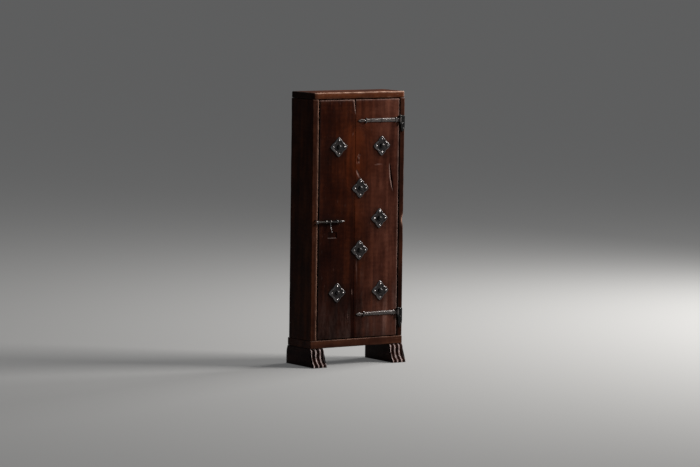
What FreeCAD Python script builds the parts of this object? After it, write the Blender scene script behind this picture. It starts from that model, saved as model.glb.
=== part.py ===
import FreeCAD, Part
import math
import os

os.makedirs("parts", exist_ok=True)

V = FreeCAD.Vector

# Overall sizes, in millimetres, with the front facing -Y and the floor at zero
top_width = 527.0
height = 1300.0
carcass_depth = 188.0
toe_reach = 32.0
heel_reach = 20.0

# Boards of the carcass
left_side_thick = 34.0
right_side_thick = 29.0
right_overhang = 2.0
top_thick = 32.0
bottom_thick = 38.0
bottom_tail = 10.0
back_thick = 14.0
rabbet = 10.0
back_count = 3
back_lap = 8.0
board_round = 4.0
top_round = 7.0
top_corner = 15.0

# Feet
foot_width = 74.0
foot_height = 88.0
flute_count = 3
flute_depth = 6.0
flute_land = 3.2
flute_proud = 1.0
flute_run_out = 6.0
bulge_radius = 30.0
bulge_start = 42.0
bulge_end = 8.0
toe_radius = 9.0
heel_rise = 52.0

# Wooden pegs
peg_radius = 7.0
peg_bite = 50.0
peg_inset = 48.0
foot_peg_inset = 58.0
foot_peg_wall = 20.0

# Shelves on cleats, their tops measured up from the bottom board
shelf_thick = 20.0
shelf_rises = [399.0, 774.0]
shelf_clear = 4.0
cleat_size = 22.0
cleat_setback = 6.0
cleat_nail_inset = 20.0
stop_size = 18.0
stop_bevel = 3.0

# Door of two lapped planks on two ledges
door_thick = 24.0
door_gap = 4.0
left_plank_width = 204.5
plank_lap = 10.0
joint_bevel = 1.5
split_width = 10.0
split_length = 72.0
door_round = 2.5
ledge_height = 64.0
ledge_thick = 20.0
ledge_inset = 24.0
ledge_bevel = 5.0
ledge_peg_radius = 4.5
ledge_peg_bite = 6.0
ledge_peg_count = 4
recess_width = 52.0
recess_height = 28.0
recess_depth = 4.0
recess_drop = 66.0
recess_lead = 7.8
recess_round = 3.0

# Strap hinges, set in from the head and the foot of the door
upper_hinge_drop = 100.0
lower_hinge_rise = 111.0
upper_leaf_drop = 58.0
lower_leaf_drop = 76.0
strap_thick = 4.5
strap_height = 16.0
strap_bevel = 3.0
strap_length = 239.0
finial_length = 42.0
finial_height = 15.0
finial_neck = 6.0
finial_bevel = 1.5
collar_width = 7.0
collar_height = 27.0
collar_proud = 2.5
collar_bevel = 2.4
collar_point = 4.0
mid_collar_height = 21.0
root_collar_inset = 22.4
strap_nail_inset = 38.0
knuckle_radius = 6.0
knuckle_height = 20.0
leaf_knuckle_height = 10.0
knuckle_gap = 0.4
pin_radius = 3.2
pin_clear = 0.06
pin_head = 4.6
pin_rise = 2.6
leaf_offset = 7.0
leaf_width = 21.0
leaf_shoulder = 7.0

# Nails
nail_head = 9.6
nail_crown = 4.6
nail_rise = 3.6
nail_shank = 3.2
nail_point = 0.9
nail_bite = 14.0
small_head = 6.4
small_crown = 2.0
small_rise = 2.2
small_shank = 2.6
back_nail_rows = 4

# Iron rosettes
rosette_reach = 55.0
rosette_thick = 6.0
rosette_sink = 2.6
rosette_field = 41.0
rosette_bevel = 4.5
rosette_notch = 33.0
rosette_nail_ring = 33.0
boss_foot = 28.0
boss_width = 22.0
boss_shoulder = 16.4
boss_tip = 5.2
boss_step = 2.4
boss_swell = 5.0
boss_crown = 3.6
boss_shank = 4.8

# Rows of rosettes, from the hinges and the bolt, and columns, from the edges of the door
top_row_drop = 122.0
upper_row_rise = 153.0
bolt_row_rise = 6.0
lower_row_drop = 142.0
bottom_row_rise = 108.5
left_column_inset = 109.5
right_column_inset = 98.5
bolt_column_inset = 108.0
middle_column_shift = 7.0

# Sliding bolt with its drop handle
bolt_below_middle = 7.0
bolt_stand = 10.0
rod_radius = 5.0
rod_clear = 0.07
rod_tip_cover = 6.5
rod_length = 153.0
bolt_throw = 14.0
keeper_gap = 2.0
keeper_width = 9.0
keeper_clear = 1.2
staple_wire = 3.0
staple_width = 5.0
staple_bite = 12.0
left_staple_inset = 36.0
stop_play = 0.5
stop_gap = 6.5
knob_proud = 1.6
knob_half = 5.0
ring_width = 3.0
spike_root = 4.0
spike_end = 0.8
tip_round = 2.5
grip_offset = 71.0
grip_wall = 3.0
grip_eye_width = 8.0
grip_drop = 54.0
grip_bar = 4.8
grip_ball = 3.8
grip_curl = 12.0

# Planes and edges that follow from the sizes above
front_y = toe_reach - (toe_reach + carcass_depth + heel_reach) / 2
back_y = front_y + carcass_depth
left_x = -top_width / 2
right_x = top_width / 2
inner_left = left_x + left_side_thick
side_right = right_x - right_overhang
inner_right = side_right - right_side_thick
floor_z = foot_height + bottom_thick
roof_z = height - top_thick
board_y = back_y - back_thick
door_left = inner_left + door_gap
door_right = inner_right - door_gap
door_bottom = floor_z + door_gap
door_top = roof_z - door_gap
door_back = front_y + door_thick
ledge_back = door_back + ledge_thick
joint_x = door_left + left_plank_width
hinge_x = (door_right + inner_right) / 2
hinge_y = front_y - knuckle_radius
upper_hinge_z = door_top - upper_hinge_drop
lower_hinge_z = door_bottom + lower_hinge_rise
shelf_front = ledge_back + shelf_clear
shelf_tops = [floor_z + rise for rise in shelf_rises]
bolt_y = front_y - bolt_stand
bolt_z = (door_bottom + door_top) / 2 - bolt_below_middle
bolt_tip = inner_left - rod_tip_cover
left_column_x = door_left + left_column_inset
right_column_x = door_right - right_column_inset
bolt_column_x = door_right - bolt_column_inset
middle_column_x = (door_left + door_right) / 2 + middle_column_shift
grip_eye = rod_radius + grip_wall
knob_radius = rod_radius + knob_proud


def box(x0, x1, y0, y1, z0, z1):
    return Part.makeBox(x1 - x0, y1 - y0, z1 - z0, V(x0, y0, z0))


def save(name, pieces):
    shape = pieces[0] if len(pieces) == 1 else Part.makeCompound(pieces)
    shape.exportStep("parts/" + name + ".step")


def middle(edge):
    return edge.valueAt((edge.FirstParameter + edge.LastParameter) / 2)


def soften(shape, radius, wanted):
    edges = [e for e in shape.Edges if wanted(middle(e))]
    return shape.makeFillet(radius, edges)


def near(a, b):
    return abs(a - b) < 0.01


# Square block along Z that tapers evenly from its low side to its high side
def taper(low, high, z0, z1):
    a = low / 2
    b = high / 2
    block = Part.makeWedge(-a, z0, -a, -b, -b, a, z1, a, b, b)
    block.rotate(V(0, 0, 0), V(1, 0, 0), 90)
    return block


# Eight-sided block along Z: two square tapers, one turned on the other
def eight_sided(low, high, z0, z1):
    turned = taper(low, high, z0, z1)
    turned.rotate(V(0, 0, 0), V(0, 0, 1), 45)
    return taper(low, high, z0, z1).common(turned)


# Split pegs are eight-sided and driven tight
def peg(x, y, z0, z1):
    body = eight_sided(2 * peg_radius, 2 * peg_radius, z0, z1)
    body.translate(V(x, y, 0))
    return body


# Forged shank along Z with its seat at zero: square, and tapered to a blunt point
def shank(side, seat):
    return taper(nail_point, side, -nail_bite, seat)


# Rosette nails have a broad head of eight hammered slopes
def broad_nail():
    return shank(nail_shank, 0).fuse(eight_sided(nail_head, nail_crown, 0, nail_rise))


# Small nails have a head of four slopes
def rose_nail():
    return shank(small_shank, 0).fuse(taper(small_head, small_crown, 0, small_rise))


def set_out(body, axis, turn, point):
    body.rotate(V(0, 0, 0), axis, turn)
    body.translate(point)
    return body


def front_set(body, x, y, z):
    return set_out(body, V(1, 0, 0), 90, V(x, y, z))


# Front curve of a foot from the top down: a bulge, a hollow and a toe, each as (centre, start, end)
def foot_arcs():
    start = math.radians(bulge_start)
    turn = math.radians(bulge_end)
    top = V(0, front_y, foot_height)
    bulge = top + V(0, math.cos(start), -math.sin(start)) * bulge_radius
    lean_way = V(0, -math.cos(turn), -math.sin(turn))
    join = bulge + lean_way * bulge_radius
    toe = V(0, front_y - toe_reach + toe_radius, toe_radius)
    ahead = join.y - toe.y
    below = join.z - toe.z
    lean = toe_radius + below * math.sin(turn) + ahead * math.cos(turn)
    hollow_radius = (ahead * ahead + below * below - toe_radius * toe_radius) / (2 * lean)
    hollow = join + lean_way * hollow_radius
    meet = toe + (hollow - toe).normalize() * toe_radius
    tip = V(0, front_y - toe_reach, toe_radius)
    return [(bulge, top, join), (hollow, join, meet), (toe, meet, tip)]


# Signed turn about X from one end of an arc to the other, in degrees
def arc_turn(centre, start, end):
    first = math.atan2(start.z - centre.z, start.y - centre.y)
    last = math.atan2(end.z - centre.z, end.y - centre.y)
    return (math.degrees(last - first) + 180) % 360 - 180


def arc_edge(centre, start, end):
    half = FreeCAD.Rotation(V(1, 0, 0), arc_turn(centre, start, end) / 2)
    return Part.Arc(start, centre + half.multVec(start - centre), end).toShape()


# One foot runner: the side profile is drawn once and pushed across, then the flutes are cut
def foot(x0):
    arcs = foot_arcs()
    heel = back_y + heel_reach
    top_back = V(0, back_y + bottom_tail, foot_height)
    heel_high = V(0, heel, heel_rise)
    in_y = heel - top_back.y
    up_z = foot_height - heel_rise
    radius = (in_y * in_y + up_z * up_z) / (2 * in_y)
    low_front = V(0, front_y - toe_reach, 0)
    low_back = V(0, heel, 0)
    edges = [arc_edge(*arc) for arc in arcs] + [
        Part.makeLine(arcs[-1][2], low_front),
        Part.makeLine(low_front, low_back),
        Part.makeLine(low_back, heel_high),
        arc_edge(heel_high - V(0, radius, 0), heel_high, top_back),
        Part.makeLine(top_back, arcs[0][1]),
    ]
    body = Part.Face(Part.Wire(edges)).extrude(V(foot_width, 0, 0))
    pitch = foot_width / flute_count
    for i in range(flute_count):
        body = body.cut(flute(arcs, (i + 0.5) * pitch, pitch - flute_land))
    body.translate(V(x0, 0, 0))
    return body


# Section of a flute at a point of the front curve: a hollow arc, closed a little outside the wood
def flute_section(point, out, wide):
    a = point - V(wide / 2, 0, 0)
    b = point - out * flute_depth
    c = point + V(wide / 2, 0, 0)
    lift = out * flute_proud
    return Part.Face(Part.Wire([
        Part.Arc(a, b, c).toShape(),
        Part.makeLine(c, c + lift),
        Part.makeLine(c + lift, a + lift),
        Part.makeLine(a + lift, a),
    ]))


# A flute follows the foot's own front curve: its section is turned about each arc, then runs out
def flute(arcs, x, wide):
    across = V(x, 0, 0)
    pieces = []
    for centre, start, end in arcs:
        sweep = arc_turn(centre, start, end)
        out = (start - centre).normalize() * math.copysign(1, sweep)
        section = flute_section(start + across, out, wide)
        if not pieces:
            pieces.append(section.extrude(V(-1, 0, 0).cross(out) * flute_run_out))
        pieces.append(section.revolve(centre + across, V(1, 0, 0), sweep))
    low_section = flute_section(arcs[-1][2] + across, V(0, -1, 0), wide)
    pieces.append(low_section.extrude(V(0, 0, -toe_radius - flute_run_out)))
    return pieces


# Rosette outline: a square on its point, each side swelling in two lobes with a notch between
def rosette_outline(reach, notch):
    edges = []
    for i in range(4):
        tip = V(reach, 0, 0)
        far = V(0, reach, 0)
        dip = V(notch, notch, 0) * math.sqrt(0.5)
        lobes = [
            Part.Arc(tip, tip * 0.7 + far * 0.3, dip).toShape(),
            Part.Arc(dip, tip * 0.3 + far * 0.7, far).toShape(),
        ]
        for edge in lobes:
            edge.rotate(V(0, 0, 0), V(0, 0, 1), 90 * i)
        edges += lobes
    return Part.Wire(edges)


# The plate slopes down to its edge, and a square field is sunk in the middle
def rosette(x, z, holes):
    plate = Part.Face(rosette_outline(rosette_reach, rosette_notch)).extrude(V(0, 0, rosette_thick))
    side = rosette_reach * math.sqrt(2)
    foot_side = side + 2 * (rosette_thick - rosette_bevel)
    slopes = taper(foot_side, side - 2 * rosette_bevel, 0, rosette_thick)
    slopes.rotate(V(0, 0, 0), V(0, 0, 1), 45)
    field_side = rosette_field * math.sqrt(2)
    field = taper(field_side, field_side, rosette_thick - rosette_sink, rosette_thick + 1)
    field.rotate(V(0, 0, 0), V(0, 0, 1), 45)
    plate = front_set(plate.common(slopes).cut(field), x, front_y, z)
    return plate.cut(Part.makeCompound(holes))


# The boss is forged in three rings of slopes, its shank driven into the plank
def boss(x, z):
    seat = rosette_thick - rosette_sink
    rise = seat + boss_step
    top = rise + boss_swell
    body = shank(boss_shank, seat).fuse([
        eight_sided(boss_foot, boss_width, seat, rise),
        eight_sided(boss_width, boss_shoulder, rise, top),
        eight_sided(boss_shoulder, boss_tip, top, top + boss_crown),
    ]).removeSplitter()
    return front_set(body, x, front_y, z)


# Strap: a bar with wide bevels, a leaf finial at its end, three collars and the eye it rolls into
def strap(zc, holes):
    tip = hinge_x - strap_length
    neck = tip + finial_length
    half = strap_height / 2
    root = knuckle_height / 2
    bar = Part.Face(Part.makePolygon([
        V(neck, 0, zc - half), V(neck, 0, zc + half), V(hinge_x, 0, zc + root),
        V(hinge_x, 0, zc - root), V(neck, 0, zc - half),
    ])).extrude(V(0, -strap_thick, 0))
    mid_x = (neck + hinge_x) / 2
    bar = bar.makeChamfer(strap_bevel, [
        e for e in bar.Edges if near(middle(e).y, -strap_thick) and near(middle(e).x, mid_x)
    ])
    bar.translate(V(0, front_y, 0))
    knops = [
        collar(neck + collar_width / 2, zc, collar_height),
        collar((neck + collar_width + hinge_x) / 2 - collar_width, zc, mid_collar_height),
        collar(hinge_x - root_collar_inset, zc, collar_height),
    ]
    eye = Part.makeCylinder(knuckle_radius, knuckle_height, V(hinge_x, hinge_y, zc - root))
    body = bar.fuse([finial(tip, neck, zc), eye] + knops).removeSplitter()
    bore = pin_radius + pin_clear
    body = body.cut(Part.makeCylinder(bore, knuckle_height, V(hinge_x, hinge_y, zc - root)))
    return body.cut(Part.makeCompound(holes))


# Leaf finial in the XZ plane: two arcs swell above the middle line and two below it
def finial(tip, neck, zc):
    widest = (tip + neck) / 2
    high = finial_height / 2
    slim = finial_neck / 2
    swell = high * 0.72
    upper = []
    lower = []
    for edges, way in ((upper, 1), (lower, -1)):
        crown = V(widest, 0, zc + way * high)
        edges.append(Part.Arc(V(tip, 0, zc), V((tip + widest) / 2, 0, zc + way * swell), crown).toShape())
        end = V(neck, 0, zc + way * slim)
        edges.append(Part.Arc(crown, V((widest + neck) / 2, 0, zc + way * swell), end).toShape())
    close = Part.makeLine(V(neck, 0, zc + slim), V(neck, 0, zc - slim))
    leaf = Part.Face(Part.Wire(upper + [close] + lower[::-1])).extrude(V(0, -strap_thick, 0))
    rims = [e for e in leaf.Edges if near(middle(e).y, -strap_thick) and middle(e).x < neck - 0.1]
    leaf = leaf.makeChamfer(finial_bevel, rims)
    leaf.translate(V(0, front_y, 0))
    return leaf


# A collar is a bevelled rib across the strap, pointed at both ends
def collar(x, zc, tall):
    half = collar_width / 2
    end = tall / 2
    neck = end - collar_point
    rib = Part.Face(Part.makePolygon([
        V(x, 0, zc + end), V(x + half, 0, zc + neck), V(x + half, 0, zc - neck),
        V(x, 0, zc - end), V(x - half, 0, zc - neck), V(x - half, 0, zc + neck), V(x, 0, zc + end),
    ])).extrude(V(0, -strap_thick - collar_proud, 0))
    rims = [e for e in rib.Edges if near(middle(e).y, -strap_thick - collar_proud)]
    rib = rib.makeChamfer(collar_bevel, rims)
    rib.translate(V(0, front_y, 0))
    return rib


# Fixed leaf: a tapered plate on the side board with an eye above and an eye below the strap's own
def hinge_leaf(zc, drop, holes):
    x0 = hinge_x + leaf_offset
    x1 = x0 + leaf_width
    half = knuckle_height / 2 + knuckle_gap
    top = zc + half + leaf_knuckle_height
    foot_z = zc - drop
    mid = (x0 + x1) / 2
    cut_in = leaf_shoulder * (1 - math.sqrt(0.5))
    shoulder = V(x1 - cut_in, 0, top - cut_in)
    edges = [
        Part.makeLine(V(x0, 0, top), V(x1 - leaf_shoulder, 0, top)),
        Part.Arc(V(x1 - leaf_shoulder, 0, top), shoulder, V(x1, 0, top - leaf_shoulder)).toShape(),
        Part.makeLine(V(x1, 0, top - leaf_shoulder), V(x1, 0, zc - drop * 0.45)),
        Part.Arc(V(x1, 0, zc - drop * 0.45), V(x1 - 3, 0, zc - drop * 0.78), V(mid, 0, foot_z)).toShape(),
        Part.Arc(V(mid, 0, foot_z), V(x0 + 2, 0, zc - drop * 0.78), V(x0, 0, zc - drop * 0.45)).toShape(),
        Part.makeLine(V(x0, 0, zc - drop * 0.45), V(x0, 0, top)),
    ]
    plate = Part.Face(Part.Wire(edges)).extrude(V(0, -strap_thick, 0))
    plate.translate(V(0, front_y, 0))
    parts = []
    for z in (zc + half, zc - half - leaf_knuckle_height):
        parts.append(box(hinge_x, x0 + 1, front_y - strap_thick, front_y, z, z + leaf_knuckle_height))
        parts.append(Part.makeCylinder(knuckle_radius, leaf_knuckle_height, V(hinge_x, hinge_y, z)))
    body = plate.fuse(parts).removeSplitter()
    long = 2 * half + 2 * leaf_knuckle_height
    body = body.cut(Part.makeCylinder(pin_radius, long, V(hinge_x, hinge_y, zc - long / 2)))
    return body.cut(Part.makeCompound(holes))


def hinge_pin(zc):
    long = knuckle_height + 2 * knuckle_gap + 2 * leaf_knuckle_height
    low = zc - long / 2
    stem = Part.makeCylinder(pin_radius, long, V(hinge_x, hinge_y, low))
    cap = Part.makeCone(pin_head, pin_radius, pin_rise, V(hinge_x, hinge_y, low + long))
    tail = Part.makeCone(pin_radius, pin_head, pin_rise, V(hinge_x, hinge_y, low - pin_rise))
    return stem.fuse([cap, tail]).removeSplitter()


# A staple bridges the rod: a round arch in front and two legs driven into the wood behind
def staple(x, wide, bore):
    outer = bore + staple_wire
    x0 = x - wide / 2
    arch = Part.makeCylinder(outer, wide, V(x0, bolt_y, bolt_z), V(1, 0, 0))
    behind = box(x0 - 1, x0 + wide + 1, bolt_y, bolt_y + 2 * outer, bolt_z - 2 * outer, bolt_z + 2 * outer)
    body = arch.cut(behind)
    deep = front_y + staple_bite
    for z in (bolt_z - outer, bolt_z + bore):
        body = body.fuse(box(x0, x0 + wide, bolt_y, deep, z, z + staple_wire))
    hollow = Part.makeCylinder(bore, wide, V(x0, bolt_y, bolt_z), V(1, 0, 0))
    return body.cut(hollow).removeSplitter()


# The rod is turned about its own line: bevelled tip, long shank, stop collar, knob and pointed end
def bolt_rod(collar_x):
    turned = V(1, 0, 0)
    end = bolt_tip + rod_length
    nose = Part.makeCone(rod_radius - tip_round, rod_radius, tip_round, V(bolt_tip, 0, 0), turned)
    shoulder = bolt_tip + tip_round
    stem = Part.makeCylinder(rod_radius, collar_x - shoulder, V(shoulder, 0, 0), turned)
    ring = Part.makeCylinder(knob_radius, ring_width, V(collar_x, 0, 0), turned)
    knob_x = collar_x + ring_width + knob_half
    swell = Part.makeCone(spike_root, knob_radius, knob_half, V(collar_x + ring_width, 0, 0), turned)
    fall = Part.makeCone(knob_radius, spike_root, knob_half, V(knob_x, 0, 0), turned)
    neck = knob_x + knob_half
    spike = Part.makeCone(spike_root, spike_end, end - neck, V(neck, 0, 0), turned)
    rod = stem.fuse([nose, ring, swell, fall, spike]).removeSplitter()
    rod.translate(V(0, bolt_y, bolt_z))
    return rod


# Drop handle: an eye on the rod and a tail of two equal arcs that swings forward to a small ball
def drop_handle():
    x = bolt_tip + grip_offset
    eye = Part.makeCylinder(grip_eye, grip_eye_width, V(x - grip_eye_width / 2, bolt_y, bolt_z), V(1, 0, 0))
    root = V(x, bolt_y, bolt_z - grip_eye + grip_wall / 2)
    fall = grip_drop - grip_eye - grip_ball
    radius = (grip_curl * grip_curl + fall * fall) / (4 * grip_curl)
    turn = math.degrees(math.asin(fall / 2 / radius))
    end = root - V(0, grip_curl, fall)
    corner = V(grip_bar / 2, grip_bar / 2, 0)
    section = Part.makePlane(grip_bar, grip_bar, root - corner)
    upper = section.revolve(root - V(0, radius, 0), V(1, 0, 0), -turn)
    section = Part.makePlane(grip_bar, grip_bar, end - corner)
    lower = section.revolve(end + V(0, radius, 0), V(1, 0, 0), -turn)
    body = eye.fuse([upper, lower, Part.makeSphere(grip_ball, end)]).removeSplitter()
    hole = rod_radius + rod_clear
    return body.cut(Part.makeCylinder(hole, 4 * grip_eye, V(x - 2 * grip_eye, bolt_y, bolt_z), V(1, 0, 0)))


# Pegs that pin the carcass together
peg_ys = [front_y + peg_inset, back_y - back_thick - peg_inset]
left_mid = (left_x + inner_left) / 2
right_mid = (inner_right + side_right) / 2
top_pegs = [peg(x, y, roof_z - peg_bite, height) for x in (left_mid, right_mid) for y in peg_ys]
base_pegs = [peg(x, y, foot_height, floor_z + peg_bite) for x in (left_mid, right_mid) for y in peg_ys]
foot_peg_xs = [left_x + foot_width - foot_peg_wall, right_x - foot_width + foot_peg_wall]
foot_peg_ys = [front_y + foot_peg_inset, back_y - back_thick - foot_peg_inset]
foot_pegs = [peg(x, y, foot_height - peg_bite, floor_z) for x in foot_peg_xs for y in foot_peg_ys]
save("top_pegs", top_pegs)
save("base_pegs", base_pegs)
save("foot_pegs", foot_pegs)

# Back boards, lapped on each other, nailed into the rabbets of the sides
back_left = inner_left - rabbet
back_right = inner_right + rabbet
back_pitch = (back_right - back_left) / back_count
back_mid_y = (board_y + back_y) / 2
back_boards = []
for i in range(back_count):
    x0 = back_left + i * back_pitch
    board = box(x0, x0 + back_pitch, board_y, back_y, floor_z, roof_z)
    if i > 0:
        board = board.cut(box(x0, x0 + back_lap, board_y, back_mid_y, floor_z, roof_z))
    if i < back_count - 1:
        x1 = x0 + back_pitch
        board = board.fuse(box(x1, x1 + back_lap, board_y, back_mid_y, floor_z, roof_z)).removeSplitter()
    back_boards.append(board)
back_nails = []
nail_step = (roof_z - floor_z) / back_nail_rows
for i in range(back_nail_rows):
    for x in (back_left + rabbet / 2, back_right - rabbet / 2):
        place = V(x, back_y, floor_z + (i + 0.5) * nail_step)
        back_nails.append(set_out(rose_nail(), V(1, 0, 0), -90, place))
shelf_mids = [z - shelf_thick / 2 for z in shelf_tops]
for z in shelf_mids:
    for i in range(back_count):
        place = V(back_left + (i + 0.5) * back_pitch, back_y, z)
        back_nails.append(set_out(rose_nail(), V(1, 0, 0), -90, place))
back_nail_cut = Part.makeCompound(back_nails)
for name, board in zip(["back_board_left", "back_board_middle", "back_board_right"], back_boards):
    save(name, [board.cut(back_nail_cut)])
save("back_nails", back_nails)

# Shelves on their cleats, and the strip that stops the door at the top
cleats = []
cleat_nails = []
cleat_front = shelf_front + cleat_setback
for z in shelf_tops:
    under = z - shelf_thick
    for x0, x1, inside, turn in (
        (inner_left, inner_left + cleat_size, inner_left + cleat_size, 90),
        (inner_right - cleat_size, inner_right, inner_right - cleat_size, -90),
    ):
        bar = box(x0, x1, cleat_front, board_y, under - cleat_size, under)
        for y in (cleat_front + cleat_nail_inset, board_y - cleat_nail_inset):
            place = V(inside, y, under - cleat_size / 2)
            cleat_nails.append(set_out(rose_nail(), V(0, 1, 0), turn, place))
        cleats.append(bar)
cleat_nail_cut = Part.makeCompound(cleat_nails)
save("shelf_cleats", [c.cut(cleat_nail_cut) for c in cleats])
save("cleat_nails", cleat_nails)
for name, z in zip(["lower_shelf", "upper_shelf"], shelf_tops):
    shelf = box(inner_left, inner_right, shelf_front, board_y, z - shelf_thick, z)
    middle_x = (inner_left + inner_right) / 2
    shelf = soften(shelf, board_round / 2, lambda p: near(p.y, shelf_front) and near(p.x, middle_x))
    save(name, [shelf.cut(back_nail_cut)])
stop_back = door_back + stop_size
stop_low = roof_z - stop_size
stop = box(inner_left, inner_right, door_back, stop_back, stop_low, roof_z)
stop_edge = [e for e in stop.Edges if near(middle(e).y, stop_back) and near(middle(e).z, stop_low)]
save("door_stop", [stop.makeChamfer(stop_bevel, stop_edge)])

# Nails and pins of the hinges
leaf_mid = hinge_x + leaf_offset + leaf_width / 2
plate_y = front_y - strap_thick
leaf_nails = []
strap_nails = []
strap_tip = hinge_x - strap_length
strap_nail_xs = [
    strap_tip + finial_length / 2,
    strap_tip + finial_length + strap_nail_inset,
    hinge_x - root_collar_inset - strap_nail_inset,
]
leaf_nail_rise = knuckle_height / 2 + leaf_knuckle_height / 2
for name, zc, drop in (("upper", upper_hinge_z, upper_leaf_drop), ("lower", lower_hinge_z, lower_leaf_drop)):
    heights = (zc + leaf_nail_rise, zc - drop * 0.3, zc - drop * 0.72)
    fixed = [front_set(rose_nail(), leaf_mid, plate_y, z) for z in heights]
    moving = [front_set(rose_nail(), x, plate_y, zc) for x in strap_nail_xs]
    leaf_nails += fixed
    strap_nails += moving
    save(name + "_hinge_leaf", [hinge_leaf(zc, drop, fixed)])
    save(name + "_hinge_strap", [strap(zc, moving)])
    save(name + "_hinge_pin", [hinge_pin(zc)])
save("leaf_nails", leaf_nails)
save("strap_nails", strap_nails)

# Rosettes with their bosses and nails
places = {
    "rosette_top_left": (left_column_x, upper_hinge_z - top_row_drop),
    "rosette_top_right": (right_column_x, upper_hinge_z - top_row_drop),
    "rosette_upper_middle": (middle_column_x, bolt_z + upper_row_rise),
    "rosette_beside_bolt": (bolt_column_x, bolt_z + bolt_row_rise),
    "rosette_lower_middle": (middle_column_x, bolt_z - lower_row_drop),
    "rosette_bottom_left": (left_column_x, lower_hinge_z + bottom_row_rise),
    "rosette_bottom_right": (right_column_x, lower_hinge_z + bottom_row_rise),
}
rosette_nails = []
bosses = []
floor_y = front_y - rosette_thick + rosette_sink
for name, (x, z) in places.items():
    own = []
    for i in range(4):
        turn = math.radians(90 * i)
        nx = x + rosette_nail_ring * math.cos(turn)
        nz = z + rosette_nail_ring * math.sin(turn)
        own.append(front_set(broad_nail(), nx, floor_y, nz))
    stud = boss(x, z)
    save(name, [rosette(x, z, own + [stud])])
    rosette_nails += own
    bosses.append(stud)
save("rosette_nails", rosette_nails)
save("rosette_bosses", bosses)

# Bolt, its staples on the door and the keeper on the left side
staple_bore = rod_radius + rod_clear
left_staple_x = door_left + left_staple_inset
grip_x = bolt_tip + grip_offset
right_staple_x = grip_x + grip_eye_width / 2 + 2 * bolt_throw + stop_gap
stop_collar_x = right_staple_x + staple_width / 2 + bolt_throw + stop_play
keeper_x = bolt_tip - keeper_gap - keeper_width / 2
left_staple = staple(left_staple_x, staple_width, staple_bore)
right_staple = staple(right_staple_x, staple_width, staple_bore)
keeper = staple(keeper_x, keeper_width, rod_radius + keeper_clear)
save("bolt_staple_left", [left_staple])
save("bolt_staple_right", [right_staple])
save("bolt_keeper", [keeper])
save("bolt_rod", [bolt_rod(stop_collar_x)])
save("bolt_handle", [drop_handle()])

# Ledges across the back of the door, pegged to both planks
ledge_left = door_left + ledge_inset
ledge_right = door_right - ledge_inset
ledge_pegs = []
ledges = []
for zc in (lower_hinge_z, upper_hinge_z):
    bar = box(ledge_left, ledge_right, door_back, ledge_back, zc - ledge_height / 2, zc + ledge_height / 2)
    rims = [e for e in bar.Edges if near(middle(e).y, ledge_back)]
    bar = bar.makeChamfer(ledge_bevel, rims)
    span = ledge_right - ledge_left
    own = []
    for i in range(ledge_peg_count):
        for dz in (-ledge_height / 4, ledge_height / 4):
            px = ledge_left + span * (i + 0.5) / ledge_peg_count
            stick = eight_sided(2 * ledge_peg_radius, 2 * ledge_peg_radius, 0, ledge_thick + ledge_peg_bite)
            own.append(set_out(stick, V(1, 0, 0), -90, V(px, door_back - ledge_peg_bite, zc + dz)))
    ledges.append(bar.cut(Part.makeCompound(own)))
    ledge_pegs += own
save("lower_ledge", [ledges[0]])
save("upper_ledge", [ledges[1]])
save("ledge_pegs", ledge_pegs)

# Door planks, half-lapped, with the open split at the head of the joint
mid_y = (front_y + door_back) / 2
left_plank = box(door_left, joint_x, front_y, door_back, door_bottom, door_top)
right_plank = box(joint_x, door_right, front_y, door_back, door_bottom, door_top)
left_plank = soften(left_plank, door_round, lambda p: near(p.y, front_y) and not near(p.x, joint_x))
right_plank = soften(right_plank, door_round, lambda p: near(p.y, front_y) and not near(p.x, joint_x))
lap = box(joint_x, joint_x + plank_lap, mid_y, door_back, door_bottom, door_top)
left_plank = left_plank.fuse(lap).removeSplitter()
right_plank = right_plank.cut(lap)
corner = V(joint_x, front_y, door_bottom - 1)
bevel = Part.Face(Part.makePolygon([
    corner - V(joint_bevel, 0, 0),
    corner + V(joint_bevel, 0, 0),
    corner + V(0, joint_bevel, 0),
    corner - V(joint_bevel, 0, 0),
])).extrude(V(0, 0, door_top - door_bottom + 2))
split = Part.Face(Part.makePolygon([
    V(joint_x - split_width, front_y - 1, door_top + 1),
    V(joint_x, front_y - 1, door_top + 1),
    V(joint_x, front_y - 1, door_top - split_length),
    V(joint_x - split_width, front_y - 1, door_top + 1),
])).extrude(V(0, mid_y - front_y + 1, 0))
recess_x = grip_x - recess_lead
recess_z = bolt_z - recess_drop
recess = box(
    recess_x, recess_x + recess_width, front_y - 1, front_y + recess_depth,
    recess_z - recess_height / 2, recess_z + recess_height / 2,
)
recess = soften(recess, recess_round, lambda p: near(p.y, front_y + recess_depth / 2 - 0.5))
door_iron = Part.makeCompound(
    strap_nails + rosette_nails + bosses + [left_staple, right_staple] + ledge_pegs
)
save("door_plank_left", [left_plank.cut(Part.makeCompound([bevel, split, recess])).cut(door_iron)])
save("door_plank_right", [right_plank.cut(bevel).cut(door_iron)])

# Side boards
side_cut = Part.makeCompound(top_pegs + base_pegs + back_nails + cleat_nails + leaf_nails + [keeper])
left_side = box(left_x, inner_left, front_y, back_y, floor_z, roof_z)
side_mid = (floor_z + roof_z) / 2
left_side = soften(left_side, board_round, lambda p: near(p.x, left_x) and near(p.z, side_mid))
left_side = left_side.cut(box(back_left, inner_left, board_y, back_y, floor_z, roof_z))
save("left_side", [left_side.cut(side_cut)])
right_side = box(inner_right, side_right, front_y, back_y, floor_z, roof_z)
right_side = soften(right_side, board_round, lambda p: near(p.x, side_right) and near(p.z, side_mid))
right_side = right_side.cut(box(inner_right, back_right, board_y, back_y, floor_z, roof_z))
save("right_side", [right_side.cut(side_cut)])

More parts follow.
